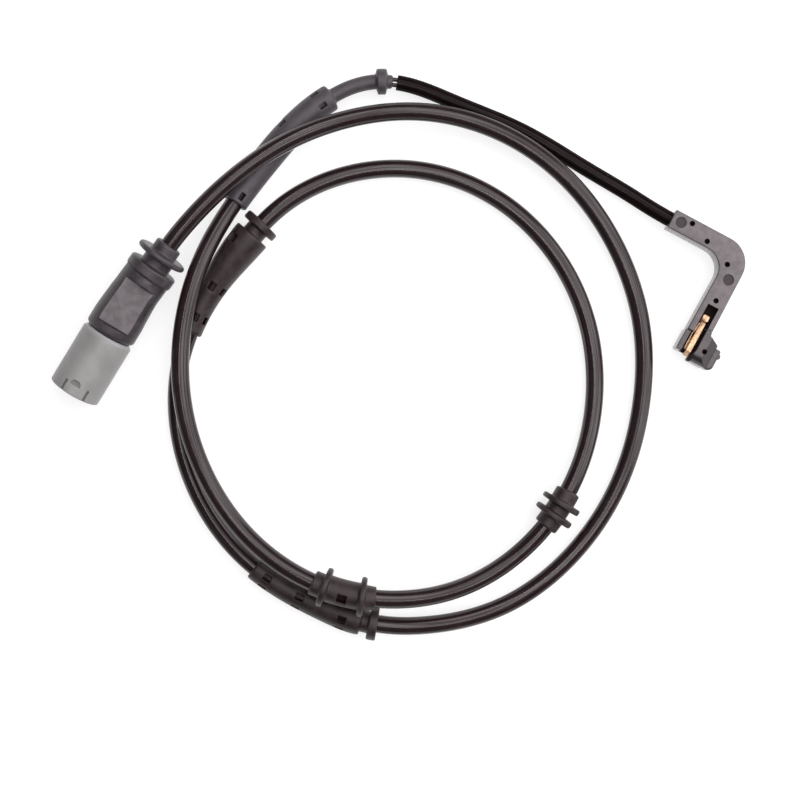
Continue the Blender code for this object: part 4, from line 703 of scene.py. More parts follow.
@dataclass(frozen=True)
class MetalFinish:
    """A bright metal with a brushed or pitted surface and duller patches."""

    name: str
    color: Colour
    dull_color: Colour
    roughness: float
    roughness_range: float
    patch_size: float = 0.6 * MM
    grain_size: float = 0.1 * MM
    grain_depth: float = 0.004 * MM
    edge_reach: float = 0.15 * MM

    def build(self) -> bpy.types.Material:
        """Build the material.

        Returns:
            The new material.
        """
        material = bpy.data.materials.new(self.name)
        material.use_nodes = True
        sheet = Sheet(material.node_tree)
        shader = material.node_tree.nodes["Principled BSDF"]
        shader.inputs["Metallic"].default_value = 1.0
        moulding = sheet.add("ShaderNodeGroup", node_tree=GROUPS.moulding)
        moulding.inputs["Mottle Size"].default_value = self.patch_size
        moulding.inputs["Grain Size"].default_value = self.grain_size
        edges = sheet.add("ShaderNodeGroup", node_tree=GROUPS.edges)
        edges.inputs["Reach"].default_value = self.edge_reach
        color = sheet.mix(moulding.outputs["Mottle"], (*self.color, 1.0), (*self.dull_color, 1.0))
        low = self.roughness - self.roughness_range / 2.0
        rough = sheet.span(moulding.outputs["Mottle"], 0.0, 1.0, low, low + self.roughness_range)
        grain = moulding.outputs["Grain"]
        bump = sheet.add("ShaderNodeBump", {"Height": grain, "Distance": self.grain_depth,
                                            "Normal": edges.outputs["Normal"]})
        sheet.tree.links.new(color, shader.inputs["Base Color"])
        sheet.tree.links.new(rough, shader.inputs["Roughness"])
        sheet.tree.links.new(bump.outputs[0], shader.inputs["Normal"])
        return material


FINISHES = [
    MouldedFinish("jacket", (0.014, 0.007, 0.008), (0.02, 0.011, 0.012), (0.03, 0.02, 0.02), 0.16,
                  grain_depth=0.002 * MM, drawn_depth=0.014 * MM, dust_share=0.003, specular=0.04,
                  gloss=(0.21, 0.96), gloss_roughness=0.19),
    MouldedFinish("gloss_sleeve", (0.006, 0.003, 0.003), (0.009, 0.005, 0.005), (0.01, 0.009, 0.009), 0.12,
                  grain_depth=0.002 * MM, drawn_depth=0.008 * MM, dust_share=0.003, specular=0.0,
                  gloss=(0.05, 0.2), gloss_roughness=0.14),
    MouldedFinish("black_rubber", (0.018, 0.0105, 0.0105), (0.036, 0.025, 0.025), (0.06, 0.05, 0.05), 0.43,
                  mottle_size=3.0 * MM, grain_depth=0.015 * MM, specular=0.35),
    MouldedFinish("grey_rubber", (0.046, 0.041, 0.048), (0.065, 0.058, 0.067), (0.11, 0.1, 0.11), 0.5,
                  mottle_size=3.0 * MM, grain_depth=0.015 * MM),
    # The boot's darker edge colour is painted shade along its rounded edges and in its creases.
    BootFinish("boot_rubber", (0.035, 0.029, 0.034), (0.06, 0.052, 0.059), (0.012, 0.01, 0.011), 0.4,
               mottle_size=3.0 * MM, grain_depth=0.015 * MM, edge_share=0.7, specular=0.42),
    CollarFinish("collar_plastic", (0.26, 0.265, 0.26), (0.31, 0.315, 0.31), (0.42, 0.42, 0.415), 0.36,
                 mottle_size=6.0 * MM, grain_size=0.3 * MM, grain_depth=0.02 * MM, edge_share=0.35,
                 dust_share=0.0),
    MouldedFinish("carrier_plastic", (0.028, 0.028, 0.03), (0.036, 0.036, 0.038), (0.07, 0.07, 0.072), 0.5),
    MouldedFinish("seal_rubber", (0.24, 0.048, 0.03), (0.3, 0.065, 0.04), (0.34, 0.09, 0.06), 0.55),
    MouldedFinish("wire_insulation", (0.018, 0.016, 0.016), (0.026, 0.022, 0.022), (0.05, 0.045, 0.045),
                  0.33),
    # The head's and the nose's darker edge colours are painted shade along their rounded edges and in
    # creases.
    HeadFinish("head_plastic", (0.1, 0.088, 0.094), (0.155, 0.138, 0.147), (0.012, 0.01, 0.01), 0.42,
               mottle_size=1.6 * MM, edge_share=0.95, edge_reach=0.24 * MM),
    HeadFinish("nose_plastic", (0.055, 0.046, 0.049), (0.08, 0.068, 0.073), (0.012, 0.01, 0.01), 0.3,
               mottle_size=1.3 * MM, edge_share=0.8),
    MetalFinish("contact_metal", (0.8, 0.77, 0.7), (0.66, 0.62, 0.55), 0.28, 0.12),
    MetalFinish("copper", (0.53, 0.37, 0.235), (0.36, 0.22, 0.13), 0.38, 0.2),
]
MATERIALS = {finish.name: finish.build() for finish in FINISHES}


class PathTrees:
    """Geometry node trees that work along a path, each built once."""

    def __init__(self) -> None:
        """Build the trees."""
        self.sweep = self._sweep()
        self.lay = self._lay()

    @staticmethod
    def _finish(sheet: Sheet, geometry: bpy.types.NodeSocket, material: bpy.types.NodeSocket) -> None:
        """Close a tree with Realize Instances and Set Material."""
        real = sheet.add("GeometryNodeRealizeInstances", {"Geometry": geometry})
        dressed = sheet.add("GeometryNodeSetMaterial", {"Geometry": real.outputs[0], "Material": material})
        sheet.add("NodeGroupOutput", {"Geometry": dressed.outputs[0]})

    def _sweep(self) -> bpy.types.NodeTree:
        """A round tube along a curve, which keeps its ring direction and distance as attributes."""
        inputs = [Socket("Geometry", GEOMETRY), Socket("Radius", FLOAT, CABLE_RADIUS),
                  Socket("Sides", "NodeSocketInt", 32), Socket("Material", "NodeSocketMaterial")]
        sheet = Sheet.group("sweep_along_path", GEOMETRY_TREE, inputs, [Socket("Geometry", GEOMETRY)])
        given = sheet.add("NodeGroupInput")
        circle = sheet.add("GeometryNodeCurvePrimitiveCircle", {"Resolution": given.outputs["Sides"],
                                                                "Radius": given.outputs["Radius"]})
        place = sheet.add("GeometryNodeInputPosition").outputs[0]
        store = "GeometryNodeStoreNamedAttribute"
        ring = sheet.vector("NORMALIZE", place)
        profile = sheet.add(store, {"Geometry": circle.outputs[0], "Name": "ring", "Value": ring},
                            data_type="FLOAT_VECTOR")
        distance = sheet.add("GeometryNodeSplineParameter").outputs["Length"]
        path = sheet.add(store, {"Geometry": given.outputs["Geometry"], "Name": "along", "Value": distance},
                         data_type="FLOAT")
        tube = sheet.add("GeometryNodeCurveToMesh", {
            "Curve": path.outputs[0], "Profile Curve": profile.outputs[0], "Fill Caps": True})
        self._finish(sheet, tube.outputs[0], given.outputs["Material"])
        return sheet.tree

    def _lay(self) -> bpy.types.NodeTree:
        """Lay a straight piece, drawn along z, on the route with its zero at a station."""
        inputs = [Socket("Geometry", GEOMETRY), Socket("Route", "NodeSocketObject"),
                  Socket("Start", FLOAT, 0.0), Socket("Material", "NodeSocketMaterial")]
        sheet = Sheet.group("lay_on_route", GEOMETRY_TREE, inputs, [Socket("Geometry", GEOMETRY)])
        given = sheet.add("NodeGroupInput")
        route = sheet.add("GeometryNodeObjectInfo", {"Object": given.outputs["Route"]})
        place = sheet.add("ShaderNodeSeparateXYZ", {0: sheet.add("GeometryNodeInputPosition").outputs[0]})
        station = sheet.math("ADD", place.outputs[2], given.outputs["Start"])
        sample = sheet.add("GeometryNodeSampleCurve", {"Curves": route.outputs["Geometry"]}, mode="LENGTH",
                           use_all_curves=True)
        sheet.tree.links.new(station, sample.inputs["Length"])
        forwards = sheet.vector("NORMALIZE", sample.outputs["Tangent"])
        left = sheet.vector("NORMALIZE", sheet.vector("CROSS_PRODUCT", (0.0, 0.0, 1.0), forwards))
        up = sheet.vector("CROSS_PRODUCT", forwards, left)
        result = sample.outputs["Position"]
        for axis, amount in ((left, place.outputs[0]), (up, place.outputs[1])):
            result = sheet.vector("ADD", result, sheet.scale(axis, amount))
        shape = given.outputs["Geometry"]
        moved = sheet.add("GeometryNodeSetPosition", {"Geometry": shape, "Position": result})
        self._finish(sheet, moved.outputs[0], given.outputs["Material"])
        return sheet.tree


PATH_TREES = PathTrees()


@dataclass(frozen=True)
class Window:
    """A window in a grommet's wall.

    Attributes:
        middle: Distance of its middle from the grommet's start.
        angle: Its angle in degrees, from the left side upwards.
        length: Its size along the grommet.
        width: Its size across.
    """

    middle: float
    angle: float
    length: float
    width: float


def rounded(corners: Sequence[tuple[float, float, float]], closed: bool, step: float = 15.0) -> list[Pair]:
    """A line through corners, each rounded by its own radius.

    Args:
        corners: The corners as (x, y, radius).
        closed: Whether the line closes on itself.
        step: The turn of one arc segment in degrees.

    Returns:
        The line's points.
    """
    line = []
    count = len(corners)
    for i, (x, y, radius) in enumerate(corners):
        corner = Vector((x, y))
        if radius == 0.0 or (not closed and i in (0, count - 1)):
            line.append((x, y))
            continue
        before = (Vector(corners[i - 1][:2]) - corner).normalized()
        after = (Vector(corners[(i + 1) % count][:2]) - corner).normalized()
        half = before.angle(after) / 2.0
        centre = corner + (before + after).normalized() * (radius / math.sin(half))
        first = corner + before * (radius / math.tan(half)) - centre
        last = corner + after * (radius / math.tan(half)) - centre
        sweep = first.angle_signed(last)
        steps = max(2, int(round(abs(math.degrees(sweep)) / step)))
        for k in range(steps + 1):
            line.append(tuple(centre + Matrix.Rotation(-sweep * k / steps, 2) @ first))
    return line


class Workshop:
    """Makes meshes, cuts and joins them and turns them into finished pieces."""

    def __init__(self) -> None:
        """Make the collection for the pieces and keep a list of shapes used up on the way."""
        self.pieces = bpy.data.collections.new("harness_pieces")
        bpy.context.scene.collection.children.link(self.pieces)
        self.spent: list[bpy.types.Object] = []

    def object_from(self, name: str, shape: bmesh.types.BMesh) -> bpy.types.Object:
        """An object of a mesh in the making, with its faces outwards."""
        bmesh.ops.remove_doubles(shape, verts=shape.verts, dist=MERGE)
        bmesh.ops.recalc_face_normals(shape, faces=shape.faces)
        mesh = bpy.data.meshes.new(name)
        shape.to_mesh(mesh)
        shape.free()
        item = bpy.data.objects.new(name, mesh)
        self.pieces.objects.link(item)
        return item

    def prism(self, name: str, outline: Sequence[Pair], bottom: float, top: float, edge: float = 0.0,
              matrix: Optional[Matrix] = None) -> bpy.types.Object:
        """A flat outline given some height, with its edges rounded.

        Args:
            name: The object's name.
            outline: The outline's points.
            bottom: Height of its underside.
            top: Height of its top.
            edge: Radius of its edges.
            matrix: Where it is placed.

        Returns:
            The new object.
        """
        shape = bmesh.new()
        base = shape.faces.new([shape.verts.new((x, y, bottom)) for x, y in outline])
        grown = bmesh.ops.extrude_face_region(shape, geom=[base])
        risen = [item for item in grown["geom"] if isinstance(item, bmesh.types.BMVert)]
        bmesh.ops.translate(shape, verts=risen, vec=(0.0, 0.0, top - bottom))
        bmesh.ops.recalc_face_normals(shape, faces=shape.faces)
        if edge > 0.0:
            self.round_edges(shape, edge)
        if matrix is not None:
            shape.transform(matrix)
        return self.object_from(name, shape)

    @staticmethod
    def round_edges(shape: bmesh.types.BMesh, radius: float, limit: float = 40.0) -> None:
        """Round every edge that turns by more than a limit in degrees."""
        sharp = [e for e in shape.edges if len(e.link_faces) == 2
                 and e.calc_face_angle(0.0) > math.radians(limit)]
        bmesh.ops.bevel(shape, geom=sharp, offset=radius, segments=3, profile=0.5, affect="EDGES",
                        clamp_overlap=True)

    def box(self, name: str, low: Sequence[float], high: Sequence[float],
            matrix: Optional[Matrix] = None) -> bpy.types.Object:
        """A plain box between two corners."""
        outline = [(low[0], low[1]), (high[0], low[1]), (high[0], high[1]), (low[0], high[1])]
        return self.prism(name, outline, low[2], high[2], matrix=matrix)

    def drum(self, name: str, radius: float, bottom: float, top: float, matrix: Matrix,
             edge: float = 0.0) -> bpy.types.Object:
        """A round drum standing on its local z axis."""
        turns = [2.0 * math.pi * k / DRUM_SIDES for k in range(DRUM_SIDES)]
        outline = [(radius * math.cos(turn), radius * math.sin(turn)) for turn in turns]
        return self.prism(name, outline, bottom, top, edge, matrix)

    def combine(self, item: bpy.types.Object, other: bpy.types.Object, how: Combine,
                keep: bool = False) -> None:
        """Cut one shape out of another, or join it on, at once.

        Args:
            item: The shape that changes.
            other: The shape that is used up.
            how: Whether it cuts or joins.
            keep: Whether the second shape is kept for another cut.
        """
        step = item.modifiers.new(other.name, "BOOLEAN")
        step.operation = how.value
        step.solver = "EXACT"
        step.object = other
        self.settle(item)
        if not keep:
            bpy.data.objects.remove(other, do_unlink=True)

    @staticmethod
    def settle(item: bpy.types.Object) -> None:
        """Make what the object's modifiers show its own plain mesh, and remove them."""
        bpy.context.view_layer.update()
        evaluated = item.evaluated_get(bpy.context.evaluated_depsgraph_get())
        mesh = bpy.data.meshes.new_from_object(evaluated)
        old = item.data
        item.modifiers.clear()
        item.data = mesh
        if old.users == 0 and isinstance(old, bpy.types.Mesh):
            bpy.data.meshes.remove(old)

    @staticmethod
    def set_inputs(modifier: bpy.types.Modifier, values: dict) -> None:
        """Set a node modifier's inputs by name, through the sockets' identifiers."""
        for item in modifier.node_group.interface.items_tree:
            if item.item_type == "SOCKET" and item.in_out == "INPUT" and item.name in values:
                modifier[item.identifier] = values[item.name]

    def lay(self, item: bpy.types.Object, route: Route, start: float, slot: str) -> bpy.types.Object:
        """Lay a straight piece on the route and dress it.

        Args:
            item: The piece, drawn along its z axis.
            route: The route.
            start: The station of the piece's zero.
            slot: Its material slot.

        Returns:
            The piece itself.
        """
        shape = bmesh.new()
        shape.from_mesh(item.data)
        bmesh.ops.triangulate(shape, faces=[face for face in shape.faces if len(face.verts) > 4])
        shape.to_mesh(item.data)
        shape.free()
        step = item.modifiers.new("lay", "NODES")
        step.node_group = PATH_TREES.lay
        self.set_inputs(step, {"Route": route.guide, "Start": start + ROUTE_LEAD,
                               "Material": MATERIALS[slot]})
        self.settle(item)
        return self.dress(item, slot)

    def sweep(self, name: str, points: Sequence[Vector], radius: float, slot: str, sides: int = 32,
              radii: Optional[Sequence[float]] = None) -> bpy.types.Object:
        """A round tube along a path.

        Args:
            name: The piece's name.
            points: The path's points.
            radius: The tube's radius.
            slot: Its material slot.
            sides: How many sides it has.
            radii: The radius at each point, where it changes.

        Returns:
            The new piece.
        """
        curve = bpy.data.curves.new(name, "CURVE")
        curve.dimensions = "3D"
        spline = curve.splines.new("POLY")
        spline.points.add(len(points) - 1)
        for i, point in enumerate(points):
            spline.points[i].co = (*point, 1.0)
            spline.points[i].radius = 1.0 if radii is None else radii[i] / radius
        path = bpy.data.objects.new(f"{name}_path", curve)
        self.pieces.objects.link(path)
        step = path.modifiers.new("sweep", "NODES")
        step.node_group = PATH_TREES.sweep
        self.set_inputs(step, {"Radius": radius, "Sides": sides, "Material": MATERIALS[slot]})
        bpy.context.view_layer.update()
        evaluated = path.evaluated_get(bpy.context.evaluated_depsgraph_get())
        mesh = bpy.data.meshes.new_from_object(evaluated)
        bpy.data.objects.remove(path, do_unlink=True)
        item = bpy.data.objects.new(name, mesh)
        self.pieces.objects.link(item)
        return self.dress(item, slot)

    def dress(self, item: bpy.types.Object, slot: str, sharp: float = 35.0) -> bpy.types.Object:
        """Give a piece its one material, outward faces and smooth shading between sharp edges."""
        shape = bmesh.new()
        shape.from_mesh(item.data)
        bmesh.ops.remove_doubles(shape, verts=shape.verts, dist=MERGE)
        bmesh.ops.recalc_face_normals(shape, faces=shape.faces)
        for face in shape.faces:
            face.material_index = 0
        shape.to_mesh(item.data)
        shape.free()
        item.data.materials.clear()
        item.data.materials.append(MATERIALS[slot])
        item.data.shade_smooth()
        item.data.set_sharp_from_angle(angle=math.radians(sharp))
        return item

    @staticmethod
    def hand_over(item: bpy.types.Object, slot: str, *nodes: str) -> None:
        """Tell the frame which body the piece rides on and hide the nodes that it replaces."""
        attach(item, BODY)
        if nodes:
            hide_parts(*nodes)
        LOG.info("%s: %d faces", item.name, len(item.data.polygons))


@dataclass
class Turning:
    """Turned tubes with real windows, built as one even net of faces round the z axis."""

    shop: Workshop
    step: float = 0.8 * MM
    turn: float = 5.0
    window_rows: int = 3
    clear: float = 0.3 * MM
    rim: float = 0.12 * MM
    rim_turn: float = 50.0

    def _fine(self, profile: Sequence[Pair]) -> list[Pair]:
        """The profile with long runs divided."""
        rows = [profile[0]]
        for (z0, r0), (z1, r1) in zip(profile, profile[1:]):
            parts = max(1, int(math.ceil(math.hypot(z1 - z0, r1 - r0) / self.step)))
            for k in range(1, parts + 1):
                rows.append((z0 + (z1 - z0) * k / parts, r0 + (r1 - r0) * k / parts))
        return rows

    def _rows(self, profile: Sequence[Pair], windows: Sequence[Window]) -> list[Pair]:
        """The fine profile with rows set on the windows' edges."""
        rows = self._fine(profile)
        places = [z for z, _ in rows]
        radii = [r for _, r in rows]
        for window in windows:
            low = window.middle - window.length / 2.0
            high = window.middle + window.length / 2.0
            cuts = [float(z) for z in np.linspace(low, high, self.window_rows + 1)]
            rows = [(z, r) for z, r in rows if z < low - self.clear or z > high + self.clear]
            rows += [(z, float(np.interp(z, places, radii))) for z in cuts]
            rows.sort(key=lambda row: row[0])
        return rows

    @staticmethod
    def _half_angle(window: Window, radius: float) -> float:
        """Half of the angle that a window takes up round the body, in degrees."""
        return math.degrees(math.asin(window.width / 2.0 / radius))

    def _angles(self, windows: Sequence[Window], radius: float) -> list[float]:
        """Angles of the net's lines in degrees, with lines on the windows' edges."""
        borders = sorted({round((w.angle + side * self._half_angle(w, radius)) % 360.0, 2)
                          for w in windows for side in (-1.0, 1.0)})
        borders = [b for i, b in enumerate(borders) if i == 0 or b - borders[i - 1] > 0.5] or [0.0]
        angles = []
        for i, border in enumerate(borders):
            after = borders[i + 1] if i + 1 < len(borders) else borders[0] + 360.0
            parts = max(1, int(math.ceil((after - border) / self.turn)))
            angles += [border + (after - border) * k / parts for k in range(parts)]
        return angles

    def tube(self, name: str, outer: Sequence[Pair], inner: Sequence[Pair],
             windows: Sequence[Window] = ()) -> bpy.types.Object:
        """A turned tube with windows through its wall.

        Args:
            name: The object's name.
            outer: Its outside as (distance, radius) points from start to end.
            inner: Its bore in the same way.
            windows: The windows, away from steps of either profile.

        Returns:
            The new object, drawn along z.
        """
        reach = max(r for _, r in outer)
        angles = self._angles(windows, reach)
        count = len(angles)
        shape = bmesh.new()
        nets = []
        for profile in (outer, inner):
            rows = self._rows(profile, windows)
            net = [[shape.verts.new((r * math.cos(math.radians(a)), r * math.sin(math.radians(a)), z))
                    for a in angles] for z, r in rows]
            nets.append((rows, net))

        def is_open(z: float, j: int) -> bool:
            """Whether the net's cell at a height, after line j, is in a window."""
            after = angles[j + 1] if j + 1 < count else angles[0] + 360.0
            middle = (angles[j] + after) / 2.0
            for window in windows:
                off = (middle - window.angle + 180.0) % 360.0 - 180.0
                beside = abs(off) < self._half_angle(window, reach)
                if beside and abs(z - window.middle) < window.length / 2.0:
                    return True
            return False

        for rows, net in nets:
            for i in range(len(rows) - 1):
                middle = (rows[i][0] + rows[i + 1][0]) / 2.0
                for j in range(count):
                    if not is_open(middle, j):
                        k = (j + 1) % count
                        shape.faces.new((net[i][j], net[i][k], net[i + 1][k], net[i + 1][j]))
        for end in (0, -1):
            outside, inside = nets[0][1][end], nets[1][1][end]
            for j in range(count):
                k = (j + 1) % count
                shape.faces.new((outside[j], outside[k], inside[k], inside[j]))
        walls = self._walls(shape, nets, windows, is_open, count)
        bmesh.ops.recalc_face_normals(shape, faces=shape.faces)
        rims = {edge for wall in walls for edge in wall.edges
                if edge.calc_face_angle(0.0) > math.radians(self.rim_turn)}
        if rims:
            bmesh.ops.bevel(shape, geom=list(rims), offset=self.rim, segments=2, profile=0.5,
                            affect="EDGES", clamp_overlap=True)
        return self.shop.object_from(name, shape)

    @staticmethod
    def _walls(shape: bmesh.types.BMesh, nets: list, windows: Sequence[Window], is_open: object,
               count: int) -> list[bmesh.types.BMFace]:
        """The windows' walls, from the outside to the bore."""
        walls = []
        outer_rows, outer = nets[0]
        inner_rows, inner = nets[1]
        inner_at = {round(z / MM, 4): i for i, (z, _) in enumerate(inner_rows)}
        lows = {round((w.middle - w.length / 2.0) / MM, 4) for w in windows}
        highs = {round((w.middle + w.length / 2.0) / MM, 4) for w in windows}
        for i in range(len(outer_rows) - 1):
            middle = (outer_rows[i][0] + outer_rows[i + 1][0]) / 2.0
            for j in range(count):
                if not is_open(middle, j):
                    continue
                k = (j + 1) % count
                low = round(outer_rows[i][0] / MM, 4)
                high = round(outer_rows[i + 1][0] / MM, 4)
                a, b = inner_at[low], inner_at[high]
                near, far = outer[i], outer[i + 1]
                near_bore, far_bore = inner[a], inner[b]
                if low in lows:
                    walls.append(shape.faces.new((near[j], near[k], near_bore[k], near_bore[j])))
                if high in highs:
                    walls.append(shape.faces.new((far[j], far[k], far_bore[k], far_bore[j])))
                if not is_open(middle, (j - 1) % count):
                    walls.append(shape.faces.new((near[j], far[j], far_bore[j], near_bore[j])))
                if not is_open(middle, k):
                    walls.append(shape.faces.new((near[k], far[k], far_bore[k], near_bore[k])))
        return walls

    def solid(self, name: str, profile: Sequence[Pair]) -> bpy.types.Object:
        """A turned solid whose profile starts and ends on the axis."""
        shape = bmesh.new()
        angles = [math.radians(a) for a in self._angles((), 1.0)]
        rows = self._fine(profile)
        net = [[shape.verts.new((r * math.cos(a), r * math.sin(a), z)) for a in angles] for z, r in rows]
        for i in range(len(rows) - 1):
            for j in range(len(angles)):
                k = (j + 1) % len(angles)
                shape.faces.new((net[i][j], net[i][k], net[i + 1][k], net[i + 1][j]))
        bmesh.ops.dissolve_degenerate(shape, dist=0.0005 * MM, edges=shape.edges)
        return self.shop.object_from(name, shape)


@dataclass
class Harness:
    """The cable, the thin wires and the sleeve over them."""

    shop: Workshop
    route: Route
    spacing: float = 1.5 * MM
    exit_station: float = 30.3 * MM
    sleeve_radius: float = 2.1 * MM
    sleeve_end_radius: float = 2.7 * MM
    sleeve_flare: float = 9.0 * MM
    sleeve_gap: float = 1.2 * MM
    wire_end_gap: float = 2.7 * MM
    sleeve_start: float = 0.0
    sleeve_end: float = 0.0

    def make_cable(self) -> None:
        """The jacketed cable from the plug to the tail grommet."""
        points = self.route.spread(CABLE_START, CABLE_END, self.spacing)
        cable = self.shop.sweep("cable_jacket", points, CABLE_RADIUS, "jacket", 40)
        self.shop.hand_over(cable, "jacket", "cable")
        tuple(self.route.point(self.exit_station))

    def make_lead(self) -> None:
        """The two thin wires and the glossy sleeve that ends at the sensor head."""
        for name, side in (("a", 1.0), ("b", -1.0)):
            points = self.route.spread(CABLE_END + 2.0 * GAP, self.route.length - self.wire_end_gap,
                                       self.spacing, side * WIRE_PITCH / 2.0)
            wire = self.shop.sweep(f"lead_core_{name}", points, WIRE_RADIUS, "wire_insulation", 16)
            self.shop.hand_over(wire, "wire_insulation", f"lead_wire_{name}")
        points = self.route.spread(self.sleeve_start, self.sleeve_end, self.spacing)
        stations = np.linspace(self.sleeve_start, self.sleeve_end, len(points))
        shares = np.clip(1.0 - (self.sleeve_end - stations) / self.sleeve_flare, 0.0, 1.0)
        radii = self.sleeve_radius + (self.sleeve_end_radius - self.sleeve_radius) * shares ** 2
        slot = "gloss_sleeve"
        sleeve = self.shop.sweep("sleeve_tube", points, self.sleeve_radius, slot, 36, list(radii))
        self.shop.hand_over(sleeve, slot, "lead_sleeve")
        tuple(self.route.point(self.sleeve_start))


@dataclass
class Plug:
    """The plug's collar and boot; its insides stay as the frame has them."""

    shop: Workshop
    route: Route
    turning: Turning
    roll: float = 9.0
    collar_radius: float = 7.25 * MM
    collar_length: float = 18.7 * MM
    bore_radius: float = 6.15 * MM
    back_wall: float = 1.6 * MM
    back_edge: float = 1.0 * MM
    mouth_lip: float = 0.35 * MM
    margin: float = 1.0 * MM
    neck_radius: float = 4.2 * MM
    neck_length: float = 6.0 * MM
    cavity_radius: float = 3.5 * MM
    slot_angle: float = 27.0
    slot_length: float = 3.3 * MM
    slot_width: float = 0.75 * MM
    slot_depth: float = 0.6 * MM
    dent_angle: float = -5.0
    dent_from_mouth: float = 2.8 * MM
    dent_length: float = 1.6 * MM
    dent_width: float = 3.0 * MM
    dent_depth: float = 0.5 * MM
    panel_start: float = 3.0 * MM
    panel_length: float = 13.8 * MM
    panel_height: float = 5.6 * MM
    panel_slope: float = 3.0
    groove_width: float = 0.28 * MM
    groove_depth: float = 0.35 * MM

    def place(self) -> Matrix:
        """Matrix of the plug's straight pieces: z runs from the mouth to the cable, rolled about it."""
        return self.route.frame(0.0) @ Matrix.Rotation(math.radians(self.roll), 4, "Z")

    def make_collar(self) -> None:
        """Round locking collar with a tongue between two grooves and a small dent."""
        mouth, lip, radius = -self.collar_length, self.mouth_lip, self.collar_radius
        seat = self.neck_radius + GAP
        outer = rounded([
            (mouth, self.bore_radius + lip, 0.0), (mouth, radius, lip),
            (-self.back_edge, radius, 0.3 * MM), (0.0, radius - self.back_edge, 0.25 * MM), (0.0, seat, 0.0),
        ], False)
        inner = [
            (mouth, self.bore_radius + lip), (mouth + lip, self.bore_radius),
            (-self.back_wall, self.bore_radius), (-self.back_wall, seat), (0.0, seat),
        ]
        collar = self.turning.tube("locking_collar", outer, inner)
        half = self.slot_width / 2.0
        for side in (-1.0, 1.0):
            turn = Matrix.Rotation(math.radians(90.0 + side * self.slot_angle), 4, "Z")
            low = (radius - self.slot_depth, -half, mouth - self.margin)
            high = (radius + self.margin, half, mouth + self.slot_length)
            self.shop.combine(collar, self.shop.box("slot", low, high, turn), Combine.CUT)
        half = self.dent_width / 2.0
        flat = mouth + self.dent_from_mouth
        back = flat + self.dent_length
        bow = 0.8 * self.dent_length
        outline = rounded([
            (-half, -flat, 0.2 * MM), (half, -flat, 0.2 * MM), (half, -back, bow), (-half, -back, bow),
        ], True)
        upright = Matrix.Rotation(math.radians(self.dent_angle), 4, "Z")
        upright = upright @ Matrix.Rotation(math.radians(-90.0), 4, "X")
        dent = self.shop.prism("dent", outline, radius - self.dent_depth, radius + self.margin,
                               matrix=upright)
        self.shop.combine(collar, dent, Combine.CUT)
        collar.data.transform(self.place())
        self.shop.dress(collar, "collar_plastic")
        self.shop.hand_over(collar, "collar_plastic", "plug_collar")

    def make_boot(self) -> None:
        """Moulded boot with its flat panel, ring, neck, disc flange and cable stub."""
        front, waist, ring, neck, disc, stub = (r * MM for r in (7.15, 6.55, 6.95, 4.25, 7.15, 3.75))
        ring_start, ring_end = 19.5 * MM, 22.5 * MM
        disc_start = ring_end + 2.7 * MM
        disc_end = disc_start + 1.6 * MM
        stub_end = disc_end + 2.9 * MM
        corners = [
            (GAP, self.neck_radius + GAP, 0.0), (GAP, front, 1.0 * MM), (5.1 * MM, front, 8.0 * MM),
            (14.1 * MM, waist, 8.0 * MM), (ring_start, waist, 0.3 * MM), (ring_start, ring, 0.5 * MM),
            (ring_end, ring, 0.6 * MM), (ring_end, neck, 0.5 * MM), (disc_start, neck, 0.5 * MM),
            (disc_start, disc, 0.75 * MM), (disc_end, disc, 0.75 * MM), (disc_end, stub, 0.4 * MM),
            (stub_end, stub, 0.7 * MM), (stub_end, CABLE_RADIUS + FIT, 0.0),
        ]
        cavity_end = CABLE_START + GAP
        inner = [
            (GAP, self.neck_radius + GAP), (self.neck_length + GAP, self.neck_radius + GAP),
            (self.neck_length + GAP, self.cavity_radius), (cavity_end, self.cavity_radius),
            (cavity_end, CABLE_RADIUS + FIT), (stub_end, CABLE_RADIUS + FIT),
        ]
        boot = self.turning.tube("plug_boot_moulding", rounded(corners, False), inner)
        reach = front + self.margin
        turn = Matrix.Rotation(math.radians(self.roll), 4, "Z")
        turn = turn @ Matrix.Translation((0.0, self.panel_height, self.panel_start))
        turn = turn @ Matrix.Rotation(math.radians(self.panel_slope), 4, "X")
        panel = self.shop.box("panel", (-reach, 0.0, 0.0), (reach, reach, self.panel_length), turn)
        self.shop.combine(boot, panel, Combine.CUT)
        for z in (0.0, self.panel_length - self.groove_width):
            groove = self.shop.box("groove", (-reach, -self.groove_depth, z),
                                   (reach, self.groove_depth, z + self.groove_width), turn)
            self.shop.combine(boot, groove, Combine.CUT)
        self.shop.lay(boot, self.route, 0.0, "boot_rubber")
        self.shop.hand_over(boot, "grey_rubber", "plug_boot")


@dataclass(frozen=True)
class Band:
    """One stretch of a grommet: how long it is and how thick."""

    length: float
    radius: float


